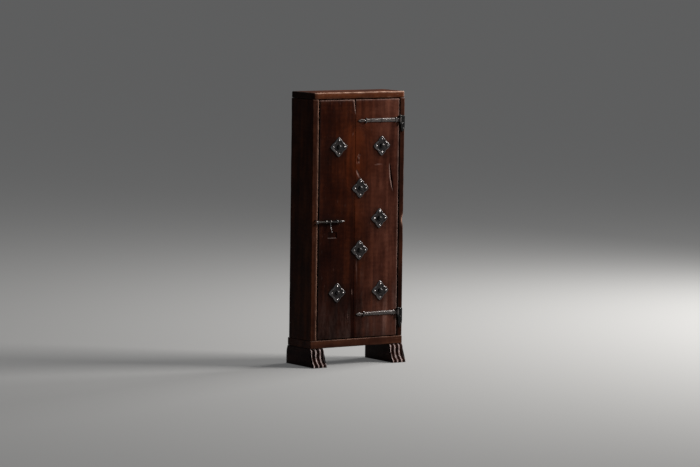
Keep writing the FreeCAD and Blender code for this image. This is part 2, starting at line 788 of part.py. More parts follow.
# Top and bottom boards and the two feet
top = box(left_x, right_x, front_y, back_y, roof_z, height)
top = soften(top, top_corner, lambda p: near(p.y, front_y) and near(p.z, (roof_z + height) / 2))
top = soften(top, top_round, lambda p: near(p.z, height) and p.y < back_y - 1)
save("top_board", [top.cut(Part.makeCompound(top_pegs))])
bottom = box(left_x, right_x, front_y, back_y + bottom_tail, foot_height, floor_z)
bottom = soften(bottom, board_round, lambda p: near(p.y, front_y) and near(p.z, (foot_height + floor_z) / 2))
bottom = soften(bottom, top_round, lambda p: near(p.y, back_y + bottom_tail) and near(p.x, 0))
save("bottom_board", [bottom.cut(Part.makeCompound(base_pegs + foot_pegs))])
foot_cut = Part.makeCompound(foot_pegs)
save("left_foot", [foot(left_x).cut(foot_cut)])
save("right_foot", [foot(right_x - foot_width).cut(foot_cut)])
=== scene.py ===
import math

import bpy
from mathutils import Matrix, Vector, noise


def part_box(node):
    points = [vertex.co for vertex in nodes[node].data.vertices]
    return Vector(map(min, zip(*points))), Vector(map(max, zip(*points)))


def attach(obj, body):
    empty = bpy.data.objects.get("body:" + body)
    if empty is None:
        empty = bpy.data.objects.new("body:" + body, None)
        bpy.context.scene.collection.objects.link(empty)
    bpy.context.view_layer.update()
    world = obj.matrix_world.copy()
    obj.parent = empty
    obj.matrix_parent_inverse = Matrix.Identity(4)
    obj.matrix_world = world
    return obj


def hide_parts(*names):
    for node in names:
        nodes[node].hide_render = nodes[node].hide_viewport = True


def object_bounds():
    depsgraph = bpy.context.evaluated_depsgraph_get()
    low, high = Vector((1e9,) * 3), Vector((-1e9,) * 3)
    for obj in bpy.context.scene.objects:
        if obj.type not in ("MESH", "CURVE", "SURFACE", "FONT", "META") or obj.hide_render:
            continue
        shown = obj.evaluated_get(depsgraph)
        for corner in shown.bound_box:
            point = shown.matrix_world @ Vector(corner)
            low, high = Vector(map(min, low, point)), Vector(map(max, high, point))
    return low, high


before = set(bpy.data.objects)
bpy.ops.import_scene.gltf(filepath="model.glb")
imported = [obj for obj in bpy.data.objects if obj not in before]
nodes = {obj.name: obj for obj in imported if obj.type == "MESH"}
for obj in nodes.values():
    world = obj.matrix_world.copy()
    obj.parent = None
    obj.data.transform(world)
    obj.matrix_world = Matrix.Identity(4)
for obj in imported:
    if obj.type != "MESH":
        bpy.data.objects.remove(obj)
cad_box = [list(corner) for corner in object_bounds()]

# Photograph frame and the camera fitted to it, in pixels, degrees and metres
IMAGE_WIDTH = 700
IMAGE_HEIGHT = 467
CENTRE_PIXEL = (358.06, 228.7)
PIXELS_PER_METRE = 210.6
CAMERA_AZIMUTH = -34.0
CAMERA_ELEVATION = 5.27
CAMERA_ROLL = 0.74
CAMERA_DISTANCE = 18.04
CAMERA_SIGHT = 300.0
SENSOR_WIDTH = 36.0

# Floor, lamps and world
FLOOR_REACH = 120.0
FLOOR_COLOUR = (0.22, 0.22, 0.218, 1.0)
FLOOR_ROUGH = 0.9
FLOOR_LIFT = 0.075
LAMP_TARGET = (0, 0, 0.65)
WORLD_COLOUR = (0.95, 0.97, 1.0, 1.0)
WORLD_STRENGTH = 0.17

# Places read from the frame
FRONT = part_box("left_side")[0].y
LEFT_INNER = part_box("left_side")[1].x
RIGHT_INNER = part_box("right_side")[0].x
RIGHT_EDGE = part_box("right_side")[1].x
TOP_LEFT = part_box("top_board")[0].x
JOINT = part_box("door_plank_right")[0].x
DOOR_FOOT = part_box("door_plank_left")[0].z
DOOR_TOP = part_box("door_plank_left")[1].z
DOOR_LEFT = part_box("door_plank_left")[0].x
DOOR_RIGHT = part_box("door_plank_right")[1].x
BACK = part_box("back_board_left")[0].y
BACK_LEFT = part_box("back_board_left")[0].x
BACK_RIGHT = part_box("back_board_right")[1].x
ROD_LOW, ROD_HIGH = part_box("bolt_rod")
ROD_LINE = (ROD_LOW + ROD_HIGH) / 2
HANDLE_LOW, HANDLE_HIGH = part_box("bolt_handle")
ROSETTE_FIXINGS = ("rosette_nails", "rosette_bosses")
PLATES = [name for name in nodes if name.startswith("rosette_") and name not in ROSETTE_FIXINGS]
ROSETTES = [sum(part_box(name), Vector()) / 2 for name in PLATES]

# Grid of a board: lines near its edges, the step between, and the least gap of two lines
EDGE_INSETS = (0.0011, 0.0024, 0.0042, 0.0066, 0.0105, 0.016)
GRID_STEP = 0.011
LINE_GAP = 0.0004

# Skin of a board: noise scales per metre, share of fine ripples, squeeze along the grain
EDGE_SCALE = 14
WAVE_SCALE = 22
RIPPLE_SCALE = 85
EDGE_PALE_SCALE = 26
RIPPLE_SHARE = 0.35
GRAIN_SQUEEZE = 0.3

# Pale edges of a board: worn share of every edge, gain of the painted highlight on lit ones, reach inwards
# and backwards
RUB_BASE = 0.06
HIGHLIGHT_GAIN = 1.3
EDGE_PALE_WIDTH = 0.005
EDGE_PALE_BEHIND = 0.03

# Outward y of a point that still counts as the front of the door
FACING = -0.6

# Drying checks: wander, then reach, lip place and lip width in widths of the check
CHECK_WANDER = 0.0012
CHECK_REACH = 2.4
LIP_PLACE = 1.1
LIP_WIDTH = 0.6

# Cracks and scars on the front of the door, as paths of (x, z)
LENS_LEFT = [(-0.0534, 0.262), (-0.06, 0.24), (-0.0615, 0.215), (-0.0582, 0.197)]
LENS_RIGHT = [(-0.0534, 0.262), (-0.049, 0.24), (-0.05, 0.215), (-0.0582, 0.197)]
LONG_CHECK = [(0.1789, 0.952), (0.188, 0.888), (0.1982, 0.829)]
LOW_SCAR = [(-0.031, 0.362), (-0.029, 0.335)]
JOINT_SCAR = [(-0.0174, 0.937), (0.0033, 0.896)]
HIGH_SCAR = [(0.097, 0.951), (0.115, 0.954), (0.132, 0.953)]

# Finger recess from x to x and z to z, the hollows of knots, the chip and the step of a rabbet
RECESS = (-0.1728, -0.1208, 0.61, 0.638)
RECESS_DEPTH = 0.003
RECESS_WALL = 0.0016
RECESS_LIP = 0.003
KNOT_DIP = 0.0012
CHIP_WIDE = 0.01
CHIP_BACK = 0.008
STEP_GAP = 0.0009

# Open split at the head of the door's plank joint
SPLIT_WIDTH = 0.012
SPLIT_LENGTH = 0.072
SPLIT_DEPTH = 0.0115
SPLIT_FOOT = DOOR_TOP - SPLIT_LENGTH
SPLIT_RAGGED = 0.0008
SPLIT_SLOPE = 0.8
SPLIT_FALL = 5
SPLIT_SOFT = 0.0012
SPLIT_FADE = 0.002
SPLIT_DARK = 0.0014

# Patches on the door, of stain and scuffs, and of painted shade behind the bolt: x, z, width and height
WARM_HIGH = (-0.02, 1.01, 0.12, 0.25)
WARM_LOW = (0.02, 0.62, 0.12, 0.3)
SCUFF_RIGHT = (0.15, 0.22, 0.1, 0.13)
SCUFF_JOINT = (0.0, 0.46, 0.02, 0.05)
BOLT_SHADE = (ROD_LINE.x, ROD_LINE.z, 0.07, 0.022)

# Reach of the door's scuffs and highlights, painted sheen, painted shade and dark foot, and the turn to its
# pale shades, painted lighter to the right
DOOR_SKIN = 0.003
FOOT_SCUFF_AND_SHEEN = 0.17
EDGE_SCUFF_AND_HIGHLIGHT = 0.0045
JOINT_CLEAN = 0.008
FOOT_DARK = 0.03
GAP_SHADE = 0.005
ROSETTE_DROP = 0.006
ROSETTE_SHADE = (0.04, 0.018)
LIT_START = -0.045
LIT_WANDER = 0.05
LIT_REACH = 0.21

# Painted light on the carcass: width and depth of a highlight and of a shade on a front edge, then start
# and reach of the painted shade along the top
SIDE_HIGHLIGHT = (0.0065, 0.006)
SIDE_SHADE = (0.006, 0.01)
TOP_SHADE_START = 0.006
TOP_SHADE_REACH = 0.018

# Carved feet
FLUTES = 3
FLUTE_DEPTH = 0.006
FLUTE_LAND = 0.0032
BULGE_RADIUS = 0.030
BULGE_START = math.radians(42)
BULGE_END = math.radians(8)
TOE_RADIUS = 0.009
HEEL_RISE = 0.052
FOOT_COLUMNS = 61
FOOT_FIRST = 0.0006
FOOT_EDGE = 0.0016
FOOT_EASE = 0.0022
FOOT_CAP = 0.004
FOOT_ROUGH = 0.0004
FOOT_WARM = 0.35

# Painted highlights and shade on a foot, place and width: from a flute's middle in half flutes, or from the
# right edge in metres
LIT_WALL = (-0.66, 0.36)
RIGHT_LAND = (1.08, 0.12)
DARK_WALL = (0.3, 0.42)
RIGHT_LINE = (0.0012, 0.0022)

# Iron rosettes with their nails and bosses
ROSETTE_REACH = 0.048
ROSETTE_NOTCH = 0.0322
ROSETTE_SHOULDER = (0.72, 0.325)
ROSETTE_THICK = 0.006
ROSETTE_RIM = 0.0012
ROSETTE_SINK = 0.0026
ROSETTE_FIELD = 0.0388
ROSETTE_WALL = 0.0016
ROSETTE_SLOPE = 0.005
ROSETTE_DINTS = 0.0007
ROSETTE_AROUND = 128
BORDER_RINGS = 16
BORDER_SHARE = 0.32
FIELD_RINGS = (0.6, 0.48, 0.36, 0.22, 0.1)
HEAD_SEAT = 0.0004
NAIL_RING = 0.0315
NAIL_RADIUS = 0.0048
NAIL_RISE = 0.0042
BOSS_RADIUS = 0.0125
BOSS_RISE = 0.0105
DOME_RINGS = 10
DOME_AROUND = 24

# Bolt: its radius, and where its ring, knob and spike start, from the nose
ROD_RADIUS = 0.005
RING_START = 0.1262
KNOB_START = 0.13
SPIKE_START = 0.141
ROD_AROUND = 32

# Drop handle: the eye on the rod and the tail below it
EYE_BORE = 0.0052
EYE_RADIUS = 0.008
EYE_CROWN = 0.0078
EYE_EASE = 0.0012
EYE_AROUND = 28
TAIL_ROOT = 0.0065
TAIL_RADIUS = 0.0029
TAIL_THINS = 0.0012
TAIL_CURL = 0.0118
TAIL_KNOB = 0.0036
TAIL_TIP = 0.0002
TAIL_STEPS = 30
TAIL_AROUND = 14

# Wood patterns: scale per metre, octaves and, where it isn't the usual one, roughness
CLOUD = (4.5, 5.0)
STREAK = (26.0, 8.0, 0.62)
FIBRE = (420.0, 4.0)
MOTTLE = (19.0, 4.0)
FLECK = (95.0, 3.0)
NICK = (190.0, 2.0)

# Growth bands and plane marks: scale and detail scale, then the bend and detail of both
BAND = (7.0, 1.6)
PLANE = (13.0, 0.8)
WAVE_BEND = 9.0
WAVE_DETAIL = 3.0

# Scale of a pattern along the grain, against its scale across
STREAK_DRAW = 0.05
FIBRE_DRAW = 0.02
MOTTLE_DRAW = 0.4
FLECK_DRAW = 0.3
NICK_DRAW = 0.12

# Shares of the patterns in the tone and in the relief of wood
TONE_SHARES = {"cloud": 0.44, "streak": 0.48, "band": 0.05, "fibre": 0.1, "mottle": 0.12, "plane": 0.02}
RELIEF_SHARES = {"streak": 1.0, "band": 0.12, "pore": -0.5, "plane": 0.4}

# Ranges of a pattern, each followed by what it becomes where that isn't 0 to 1
PORE_RANGE = (0.57, 0.72)
MOTTLE_RANGE = (0.36, 0.64)
WARM_RANGE = (0.48, 0.74, 0.1, 0.95)
FLECK_RANGE = (0.34, 0.58, 0.3, 1.0)
NICK_RANGE = (0.68, 0.78, 0.0, 0.3)
NICK_CLOUDS = (0.45, 0.65)
GLOSS_CLOUDS = (0.3, 0.7)

# Finish of wood
SHADE_STOPS = (0.46, 0.6, 0.79)
PORE_TINT = 0.5
PORE_ROUGH = 0.12
RUB_POLISH = 0.08
CRACK_AND_SHADE_TINT = 0.95
GRAIN_BUMP = 0.45
GRAIN_DEPTH = 0.0009
WAX = 0.025

# Finish of iron
SCALE = (45.0, 6.0)
GRIT = (500.0, 4.0)
SCALE_STOPS = (0.36, 0.54, 0.78)
SCALE_LIGHT = 1.7
EDGE_RADIUS = 0.0012
EDGE_SAMPLES = 4
EDGE_RANGE = (0.99, 0.88)
EDGE_CLOUDS = (0.3, 0.6, 0.3, 1.0)
EDGE_TINT = 0.8
EDGE_POLISH = 0.1
SHINE_CLOUDS = (0.3, 0.75)
SHINE_DULL = 0.12
SHINE_CLEAN = 0.08
GRIT_SHARE = 0.2
DINT_SHARE = 1.3
DINT_BUMP = 0.45
DINT_DEPTH = 0.001
METAL = 0.9

# Linear colours of wood: dark, middle, light and pore shades, then worn wood that also paints highlights,
# warm stain, and cracks that also paint shade
DOOR = ((0.005, 0.001, 0.0005), (0.0132, 0.0026, 0.001),
        (0.043, 0.0098, 0.003), (0.003, 0.0009, 0.0006))
# Shades of the door's right side, painted lighter as if lit from the right
DOOR_LIT = ((0.0155, 0.004, 0.0023), (0.041, 0.0122, 0.0072),
              (0.092, 0.0315, 0.019), (0.008, 0.003, 0.002))
UPRIGHT = ((0.007, 0.0016, 0.0007), (0.0176, 0.0044, 0.0019),
           (0.047, 0.0132, 0.0051), (0.004, 0.0013, 0.0008))
CROSS = ((0.02, 0.0046, 0.0014), (0.051, 0.0125, 0.0036),
         (0.1, 0.028, 0.0085), (0.009, 0.0028, 0.0013))
BASE = ((0.012, 0.0037, 0.002), (0.028, 0.0089, 0.0049),
        (0.064, 0.0222, 0.011), (0.006, 0.0024, 0.0016))
FOOT = ((0.005, 0.0018, 0.0013), (0.0115, 0.0042, 0.0032),
        (0.028, 0.011, 0.008), (0.003, 0.0012, 0.001))
INNER_LIGHT = ((0.042, 0.0185, 0.009), (0.088, 0.043, 0.022),
               (0.145, 0.08, 0.045), (0.024, 0.012, 0.007))
INNER = ((0.03, 0.0135, 0.0066), (0.062, 0.03, 0.0152),
         (0.11, 0.06, 0.033), (0.018, 0.009, 0.005))
DOOR_WORN_AND_LIT = (0.23, 0.145, 0.122)
FRAME_WORN_AND_LIT = (0.22, 0.12, 0.085)
TOP_WORN_AND_LIT = (0.41, 0.265, 0.2)
FOOT_WORN_AND_LIT = (0.46, 0.37, 0.355)
WARM = (0.066, 0.0128, 0.003)
CRACK_AND_SHADE = (0.003, 0.002, 0.0016)

# Linear colours of iron: scale, bright edges and brown stain
STRAP = ((0.1, 0.088, 0.084), (0.5, 0.46, 0.45), (0.05, 0.04, 0.036))
# The hinge leaf's scale is painted near black as shade
SHADED_LEAF = ((0.008, 0.0077, 0.0077), (0.13, 0.125, 0.122), (0.007, 0.006, 0.0055))
PLATE = ((0.034, 0.031, 0.0315), (0.64, 0.6, 0.6), (0.02, 0.0165, 0.016))
BOSS = ((0.03, 0.028, 0.028), (0.3, 0.28, 0.275), (0.018, 0.015, 0.013))
BOLT = ((0.075, 0.07, 0.068), (0.55, 0.53, 0.51), (0.045, 0.038, 0.034))
NAIL = ((0.42, 0.4, 0.395), (0.62, 0.6, 0.59), (0.28, 0.25, 0.24))

# Knot that turns the grain of the door: x, z and reach
KNOT = (-0.0077, 0.975, 0.08)
KNOT_PULL = 0.8
KNOT_TALL = 0.4


# Node trees

def plug(tree, socket, value):
    if isinstance(value, bpy.types.NodeSocket):
        tree.links.new(value, socket)
    else:
        socket.default_value = value


# Inputs are named, with spaces as underscores, or numbered as i0, i1
def add_node(tree, kind, settings=None, **inputs):
    made = tree.nodes.new("ShaderNode" + kind)
    for key, value in (settings or {}).items():
        setattr(made, key, value)
    for key, value in inputs.items():
        place = int(key[1:]) if key[1:].isdigit() else key.replace("_", " ")
        plug(tree, made.inputs[place], value)
    return made


def calc(tree, operation, a, b=0.0, clamped=False):
    settings = {"operation": operation, "use_clamp": clamped}
    return add_node(tree, "Math", settings, i0=a, i1=b).outputs[0]


def vector(tree, operation, a, b=(0.0, 0.0, 0.0)):
    return add_node(tree, "VectorMath", {"operation": operation}, i0=a, i1=b).outputs[0]


def weighted(tree, *pairs):
    total = calc(tree, "MULTIPLY", *pairs[0])
    for value, weight in pairs[1:]:
        total = calc(tree, "ADD", total, calc(tree, "MULTIPLY", value, weight))
    return total


def spread(tree, value, low, high, start=0.0, end=1.0):
    limits = {"From_Min": low, "From_Max": high, "To_Min": start, "To_Max": end}
    return add_node(tree, "MapRange", None, Value=value, **limits).outputs["Result"]


def ramp(tree, factor, stops):
    made = add_node(tree, "ValToRGB", None, Fac=factor)
    elements = made.color_ramp.elements
    while len(elements) < len(stops):
        elements.new(0.5)
    for element, (place, colour) in zip(elements, stops):
        element.position = place
        element.color = (*colour, 1.0)
    return made.outputs["Color"]


def mix(tree, factor, a, b):
    made = add_node(tree, "Mix", {"data_type": "RGBA"})
    sockets = {socket.identifier: socket for socket in made.inputs}
    plug(tree, sockets["Factor_Float"], factor)
    for name, value in (("A_Color", a), ("B_Color", b)):
        linked = isinstance(value, bpy.types.NodeSocket)
        plug(tree, sockets[name], value if linked else (*value, 1.0))
    return next(socket for socket in made.outputs if socket.identifier == "Result_Color")


def texture(tree, place, scale, detail, rough=0.6):
    made = add_node(tree, "TexNoise", None, Vector=place, Scale=scale, Detail=detail, Roughness=rough)
    return made.outputs["Fac"]


# Rings round an axis, or bands across it
def wave_texture(tree, place, axis, kind, scale, detail_scale):
    settings = {"wave_type": kind, kind.lower() + "_direction": axis, "wave_profile": "SIN"}
    made = add_node(tree, "TexWave", settings, Vector=place, Scale=scale, Distortion=WAVE_BEND,
                    Detail=WAVE_DETAIL, Detail_Scale=detail_scale)
    return made.outputs["Fac"]


def stretched(tree, place, axis, share, shift):
    scale = [share if name == axis else 1.0 for name in "XYZ"]
    return add_node(tree, "Mapping", None, Vector=place, Location=shift, Scale=scale).outputs[0]


def new_material(name):
    material = bpy.data.materials.new(name)
    material.use_nodes = True
    tree = material.node_tree
    tree.nodes.clear()
    shader = add_node(tree, "BsdfPrincipled")
    add_node(tree, "OutputMaterial", None, Surface=shader.outputs[0])
    return material, tree, shader


# Wood

# Pulls the grain round a knot on the front of the door
def around_knot(tree, place, x, z, size):
    away = vector(tree, "SUBTRACT", place, (x, FRONT, z))
    flat = vector(tree, "MULTIPLY", away, (1.0, 0.0, KNOT_TALL))
    reach = add_node(tree, "VectorMath", {"operation": "LENGTH"}, i0=flat).outputs["Value"]
    pull = spread(tree, reach, 0.0, size, KNOT_PULL, 0.0)
    shift = add_node(tree, "VectorMath", {"operation": "SCALE"}, i0=away, Scale=pull).outputs[0]
    return vector(tree, "SUBTRACT", place, shift)


# Stain clouds, streaks, faint growth bands, fibres, pores, mottling and plane marks along one axis
def grain_patterns(tree, place, axis, shift):
    long = stretched(tree, place, axis, STREAK_DRAW, shift)
    fibre = texture(tree, stretched(tree, place, axis, FIBRE_DRAW, shift), *FIBRE)
    mottle = texture(tree, stretched(tree, place, axis, MOTTLE_DRAW, shift), *MOTTLE)
    return {
        "cloud": texture(tree, place, *CLOUD),
        "streak": texture(tree, long, *STREAK),
        "band": wave_texture(tree, long, axis, "RINGS", *BAND),
        "fibre": fibre,
        "pore": spread(tree, fibre, *PORE_RANGE),
        "mottle": spread(tree, mottle, *MOTTLE_RANGE),
        "plane": wave_texture(tree, place, axis, "BANDS", *PLANE),
    }


# Share of worn and painted-highlight colour: the mark broken up by flecks, and small nicks in the paler
# clouds
def worn_and_lit_share(tree, place, axis, shift, mark, cloud):
    fleck = texture(tree, stretched(tree, place, axis, FLECK_DRAW, shift), *FLECK)
    pale_mark = calc(tree, "MULTIPLY", mark, spread(tree, fleck, *FLECK_RANGE), True)
    nick = texture(tree, stretched(tree, place, axis, NICK_DRAW, shift), *NICK)
    nick = spread(tree, nick, *NICK_RANGE)
    return calc(tree, "MAXIMUM", pale_mark, calc(tree, "MULTIPLY", nick, spread(tree, cloud, *NICK_CLOUDS)))


# Waxed old wood. The mesh colour "marks" holds wear and painted highlights in red, cracks, knots and
# painted shade in green, warm stain in blue, and in alpha the share of the second set of shades, on the
# door a painted lightening towards its right.
def wood(name, shades, worn_and_lit, axis, shift, gloss, knot=None, light=None):
    material, tree, shader = new_material(name)
    place = add_node(tree, "TexCoord").outputs["Object"]
    if knot:
        place = around_knot(tree, place, *knot)
    pattern = grain_patterns(tree, place, axis, shift)
    cloud, pore = pattern["cloud"], pattern["pore"]
    tone = weighted(tree, *[(pattern[key], share) for key, share in TONE_SHARES.items()])
    marks = add_node(tree, "VertexColor", {"layer_name": "marks"}).outputs
    mark = add_node(tree, "SeparateColor", None, Color=marks["Color"]).outputs
    colour = ramp(tree, tone, list(zip(SHADE_STOPS, shades)))
    if light:
        colour = mix(tree, marks["Alpha"], colour, ramp(tree, tone, list(zip(SHADE_STOPS, light))))
    colour = mix(tree, calc(tree, "MULTIPLY", pore, PORE_TINT), colour, shades[3])
    warm = calc(tree, "MULTIPLY", mark["Blue"], spread(tree, tone, *WARM_RANGE))
    colour = mix(tree, warm, colour, WARM)
    pale_mark = worn_and_lit_share(tree, place, axis, shift, mark["Red"], cloud)
    colour = mix(tree, pale_mark, colour, worn_and_lit)
    # Cracks and knots darkened, and painted shade in gaps, joints and round fittings
    colour = mix(tree, calc(tree, "MULTIPLY", mark["Green"], CRACK_AND_SHADE_TINT, True), colour, CRACK_AND_SHADE)
    plug(tree, shader.inputs["Base Color"], colour)
    rough = spread(tree, cloud, *GLOSS_CLOUDS, *gloss)
    rough = calc(tree, "ADD", rough, calc(tree, "MULTIPLY", pore, PORE_ROUGH))
    rough = calc(tree, "SUBTRACT", rough, calc(tree, "MULTIPLY", pale_mark, RUB_POLISH), True)
    plug(tree, shader.inputs["Roughness"], rough)
    height = weighted(tree, *[(pattern[key], share) for key, share in RELIEF_SHARES.items()])
    bump = add_node(tree, "Bump", None, Height=height, Strength=GRAIN_BUMP, Distance=GRAIN_DEPTH)
    plug(tree, shader.inputs["Normal"], bump.outputs[0])
    shader.inputs["Specular IOR Level"].default_value = WAX
    return material


# Iron

# Bright edges: where the softened normal leaves the true one, and where the mesh is marked as worn, a mark
# that on the rosettes is partly a painted highlight
def bright_edges(tree, soft, cloud):
    flat = add_node(tree, "NewGeometry").outputs["Normal"]
    facing = add_node(tree, "VectorMath", {"operation": "DOT_PRODUCT"}, i0=flat, i1=soft)
    edge = spread(tree, facing.outputs["Value"], *EDGE_RANGE)
    marks = add_node(tree, "VertexColor", {"layer_name": "marks"}).outputs["Color"]
    edge = calc(tree, "MAXIMUM", edge, add_node(tree, "SeparateColor", None, Color=marks).outputs["Red"])
    return calc(tree, "MULTIPLY", edge, spread(tree, cloud, *EDGE_CLOUDS), True)


# Forged iron: dark scale, hammer dints of the given scale and depth, brown stain and bright edges
def iron(name, shades, rough, dint, deep=DINT_SHARE):
    dark, bright, stain = shades
    material, tree, shader = new_material(name)
    place = add_node(tree, "TexCoord").outputs["Object"]
    cloud = texture(tree, place, *SCALE)
    grit = texture(tree, place, *GRIT)
    cell = add_node(tree, "TexVoronoi", {"feature": "SMOOTH_F1"}, Vector=place, Scale=dint)
    soft = add_node(tree, "Bevel", {"samples": EDGE_SAMPLES}, Radius=EDGE_RADIUS).outputs[0]
    edge = bright_edges(tree, soft, cloud)
    light = [shade * SCALE_LIGHT for shade in dark]
    colour = ramp(tree, cloud, list(zip(SCALE_STOPS, (stain, dark, light))))
    colour = mix(tree, calc(tree, "MULTIPLY", edge, EDGE_TINT), colour, bright)
    plug(tree, shader.inputs["Base Color"], colour)
    shine = spread(tree, cloud, *SHINE_CLOUDS, rough + SHINE_DULL, rough - SHINE_CLEAN)
    shine = calc(tree, "SUBTRACT", shine, calc(tree, "MULTIPLY", edge, EDGE_POLISH), True)
    plug(tree, shader.inputs["Roughness"], shine)
    height = weighted(tree, (cell.outputs["Distance"], deep), (grit, GRIT_SHARE))
    bump = add_node(tree, "Bump", None, Height=height, Strength=DINT_BUMP, Distance=DINT_DEPTH, Normal=soft)
    plug(tree, shader.inputs["Normal"], bump.outputs[0])
    shader.inputs["Metallic"].default_value = METAL
    return material


# Meshes

def bell(distance, width):
    return math.exp(-(distance / width) ** 2)


def near(value, place, width):
    return bell(value - place, width)


def clamp(value, low=0.0, high=1.0):
    return min(max(value, low), high)


def ring_turns(around):
    return [2 * math.pi * i / around for i in range(around)]


def plain_marks(points):
    return [(0.0, 0.0, 0.0, 0.0)] * len(points)


def add_piece(name, body, slot, material, points, faces, marks, *replaced):
    mesh = bpy.data.meshes.new(name)
    mesh.from_pydata([tuple(p) for p in points], [], faces)
    layer = mesh.color_attributes.new("marks", "FLOAT_COLOR", "POINT")
    for item, mark in zip(layer.data, marks):
        item.color = [clamp(value) for value in mark]
    mesh.polygons.foreach_set("use_smooth", [True] * len(mesh.polygons))
    mesh.materials.append(material)
    mesh.update()
    piece = bpy.data.objects.new(name, mesh)
    bpy.context.scene.collection.objects.link(piece)
    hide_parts(*replaced)
    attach(piece, body)


# Joins rings of points, each to the next, and closes the ends by flat faces, or by each other round a bore
def close_rings(faces, first, rings, around, bore=False):
    last = first + (rings - 1) * around
    for k in range(rings if bore else rings - 1):
        here = first + k * around
        there = here + around if here < last else first
        for i in range(around):
            j = (i + 1) % around
            faces.append([here + i, here + j, there + j, there + i])
    if not bore:
        faces.append(list(range(first, first + around))[::-1])
        faces.append(list(range(last, last + around)))


# Boards

# Lines of a grid from low to high: close at both ends, evenly spread between, finer where asked
def grid_lines(low, high, finer):
    places = [low, high]
    for inset in EDGE_INSETS:
        places += [low + inset, high - inset]
    margin = EDGE_INSETS[-1]
    inner = high - low - 2 * margin
    count = max(1, int(inner / GRID_STEP))
    places += [low + margin + inner * i / count for i in range(count + 1)]
    for first, last, pitch in finer:
        first, last = max(first, low), min(last, high)
        places += [first + i * pitch for i in range(int((last - first) / pitch) + 1)]
    kept = [low]
    for place in sorted(places):
        if place - kept[-1] > LINE_GAP and high - place > LINE_GAP:
            kept.append(place)
    return kept + [high]


# Closed box whose six faces are grids that share their edges
def grid_box(lines):
    points, faces, index = [], [], {}
    last = [len(line) - 1 for line in lines]

    def corner(*key):
        if key not in index:
            index[key] = len(points)
            points.append(Vector([line[i] for line, i in zip(lines, key)]))
        return index[key]

    for axis in range(3):
        u, v = (axis + 1) % 3, (axis + 2) % 3
        for side in (0, last[axis]):
            for i in range(last[u]):
                for j in range(last[v]):
                    quad = []
                    for di, dj in ((0, 0), (1, 0), (1, 1), (0, 1)):
                        key = [0, 0, 0]
                        key[axis], key[u], key[v] = side, i + di, j + dj
                        quad.append(corner(*key))
                    faces.append(quad if side else quad[::-1])
    return points, faces


# Turns the square edges of a box into arcs of the given radius, and gives the outward direction
def rounded(point, low, high, radius):
    core = Vector([clamp(point[i], low[i] + radius, high[i] - radius) for i in range(3)])
    out = point - core
    biggest = max(abs(value) for value in out)
    if biggest < 1e-9:
        return point.copy(), out
    out.normalize()
    return core + out * biggest, out


# The front corners of the top board are turned in plan on a larger radius
def turned_corner(point, low, high, radius):
    centre_y = low.y + radius
    for centre_x, way in ((low.x + radius, -1), (high.x - radius, 1)):
        dx, dy = point.x - centre_x, point.y - centre_y
        if dx * way > 0 and dy < 0:
            scale = max(abs(dx), abs(dy)) / math.hypot(dx, dy)
            return Vector((centre_x + dx * scale, centre_y + dy * scale, point.z))
    return point.copy()


# Depth of the hand-planed skin: long waves and fine ripples along the grain
def planed(flow, seed, depth):
    waves = depth * (0.5 + 0.5 * noise.noise(flow * WAVE_SCALE + seed))
    return waves + RIPPLE_SHARE * depth * (0.5 + 0.5 * noise.noise(flow * RIPPLE_SCALE + seed))


# Pale edges of a board: wear on every edge, and a painted highlight on those that face right or up towards
# the lamps, most at the front
def edge_wear_and_highlight(p, out, low, high, seed):
    edge = sorted(min(p[i] - low[i], high[i] - p[i]) for i in range(3))[1]
    lit = RUB_BASE + HIGHLIGHT_GAIN * max(0.0, 0.75 * out.x + 0.65 * out.z)
    uneven = 0.7 + 0.8 * noise.noise(p * EDGE_PALE_SCALE + seed)
    return lit * math.exp(-edge / EDGE_PALE_WIDTH) * uneven * (0.3 + 0.7 * bell(p.y - FRONT, EDGE_PALE_BEHIND))


# Old board: rounded edges, worn pale with a painted highlight on lit ones, a hand-planed skin, and flaws
# that push its points in. A flaw takes a point and its outward direction and gives (push, pale, dark); a
# stain gives (pale, dark, warm, light).
def board(node, body, material, slot, grain, radius=0.003, wave=0.0007, wear_and_highlight=1.0, corner=0.0,
          finer=None, flaws=(), stain=None, right=None):
    low, high = [end.copy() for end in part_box(node)]
    if right is not None:
        high.x = right
    finer = finer or {}
    points, faces = grid_box([grid_lines(low[i], high[i], finer.get("xyz"[i], ())) for i in range(3)])
    seed = Vector((low.x * 9, len(node) * 1.7, low.z * 5))
    squeeze = [GRAIN_SQUEEZE if axis == grain else 1.0 for axis in "xyz"]
    placed, marks = [], []
    for p in points:
        soft = radius * (0.75 + 0.9 * max(0.0, noise.noise(p * EDGE_SCALE + seed)))
        moved, out = rounded(p, low, high, soft)
        if corner:
            moved = turned_corner(moved, low, high, corner)
        flow = Vector([value * share for value, share in zip(p, squeeze)])
        dip = planed(flow, seed, wave)
        pale_mark = wear_and_highlight * edge_wear_and_highlight(p, out, low, high, seed)
        dark = warm = light = 0.0
        for flaw in flaws:
            push, more, shade = flaw(p, out)
            moved += push
            pale_mark += more
            dark = max(dark, shade)
        if stain:
            more, shade, warm, light = stain(p)
            pale_mark += more
            dark = max(dark, shade)
        placed.append(moved - out * dip)
        marks.append((pale_mark, dark, warm, light))
    add_piece(node + "_old", body, slot, material, placed, faces, marks, node)


# Flaws of the boards

NOTHING = (Vector(), 0.0, 0.0)


# Distance from a path on the front of the door, and the share of the path passed there
def near_path(path, x, z):
    best, share, done = 1.0, 0.0, 0.0
    total = sum((b - a).length for a, b in zip(path, path[1:]))
    here = Vector((x, z))
    for a, b in zip(path, path[1:]):
        run = b - a
        t = clamp((here - a).dot(run) / run.length_squared)
        gap = (here - a - run * t).length
        if gap < best:
            best, share = gap, (done + t * run.length) / total
        done += run.length
    return best, share


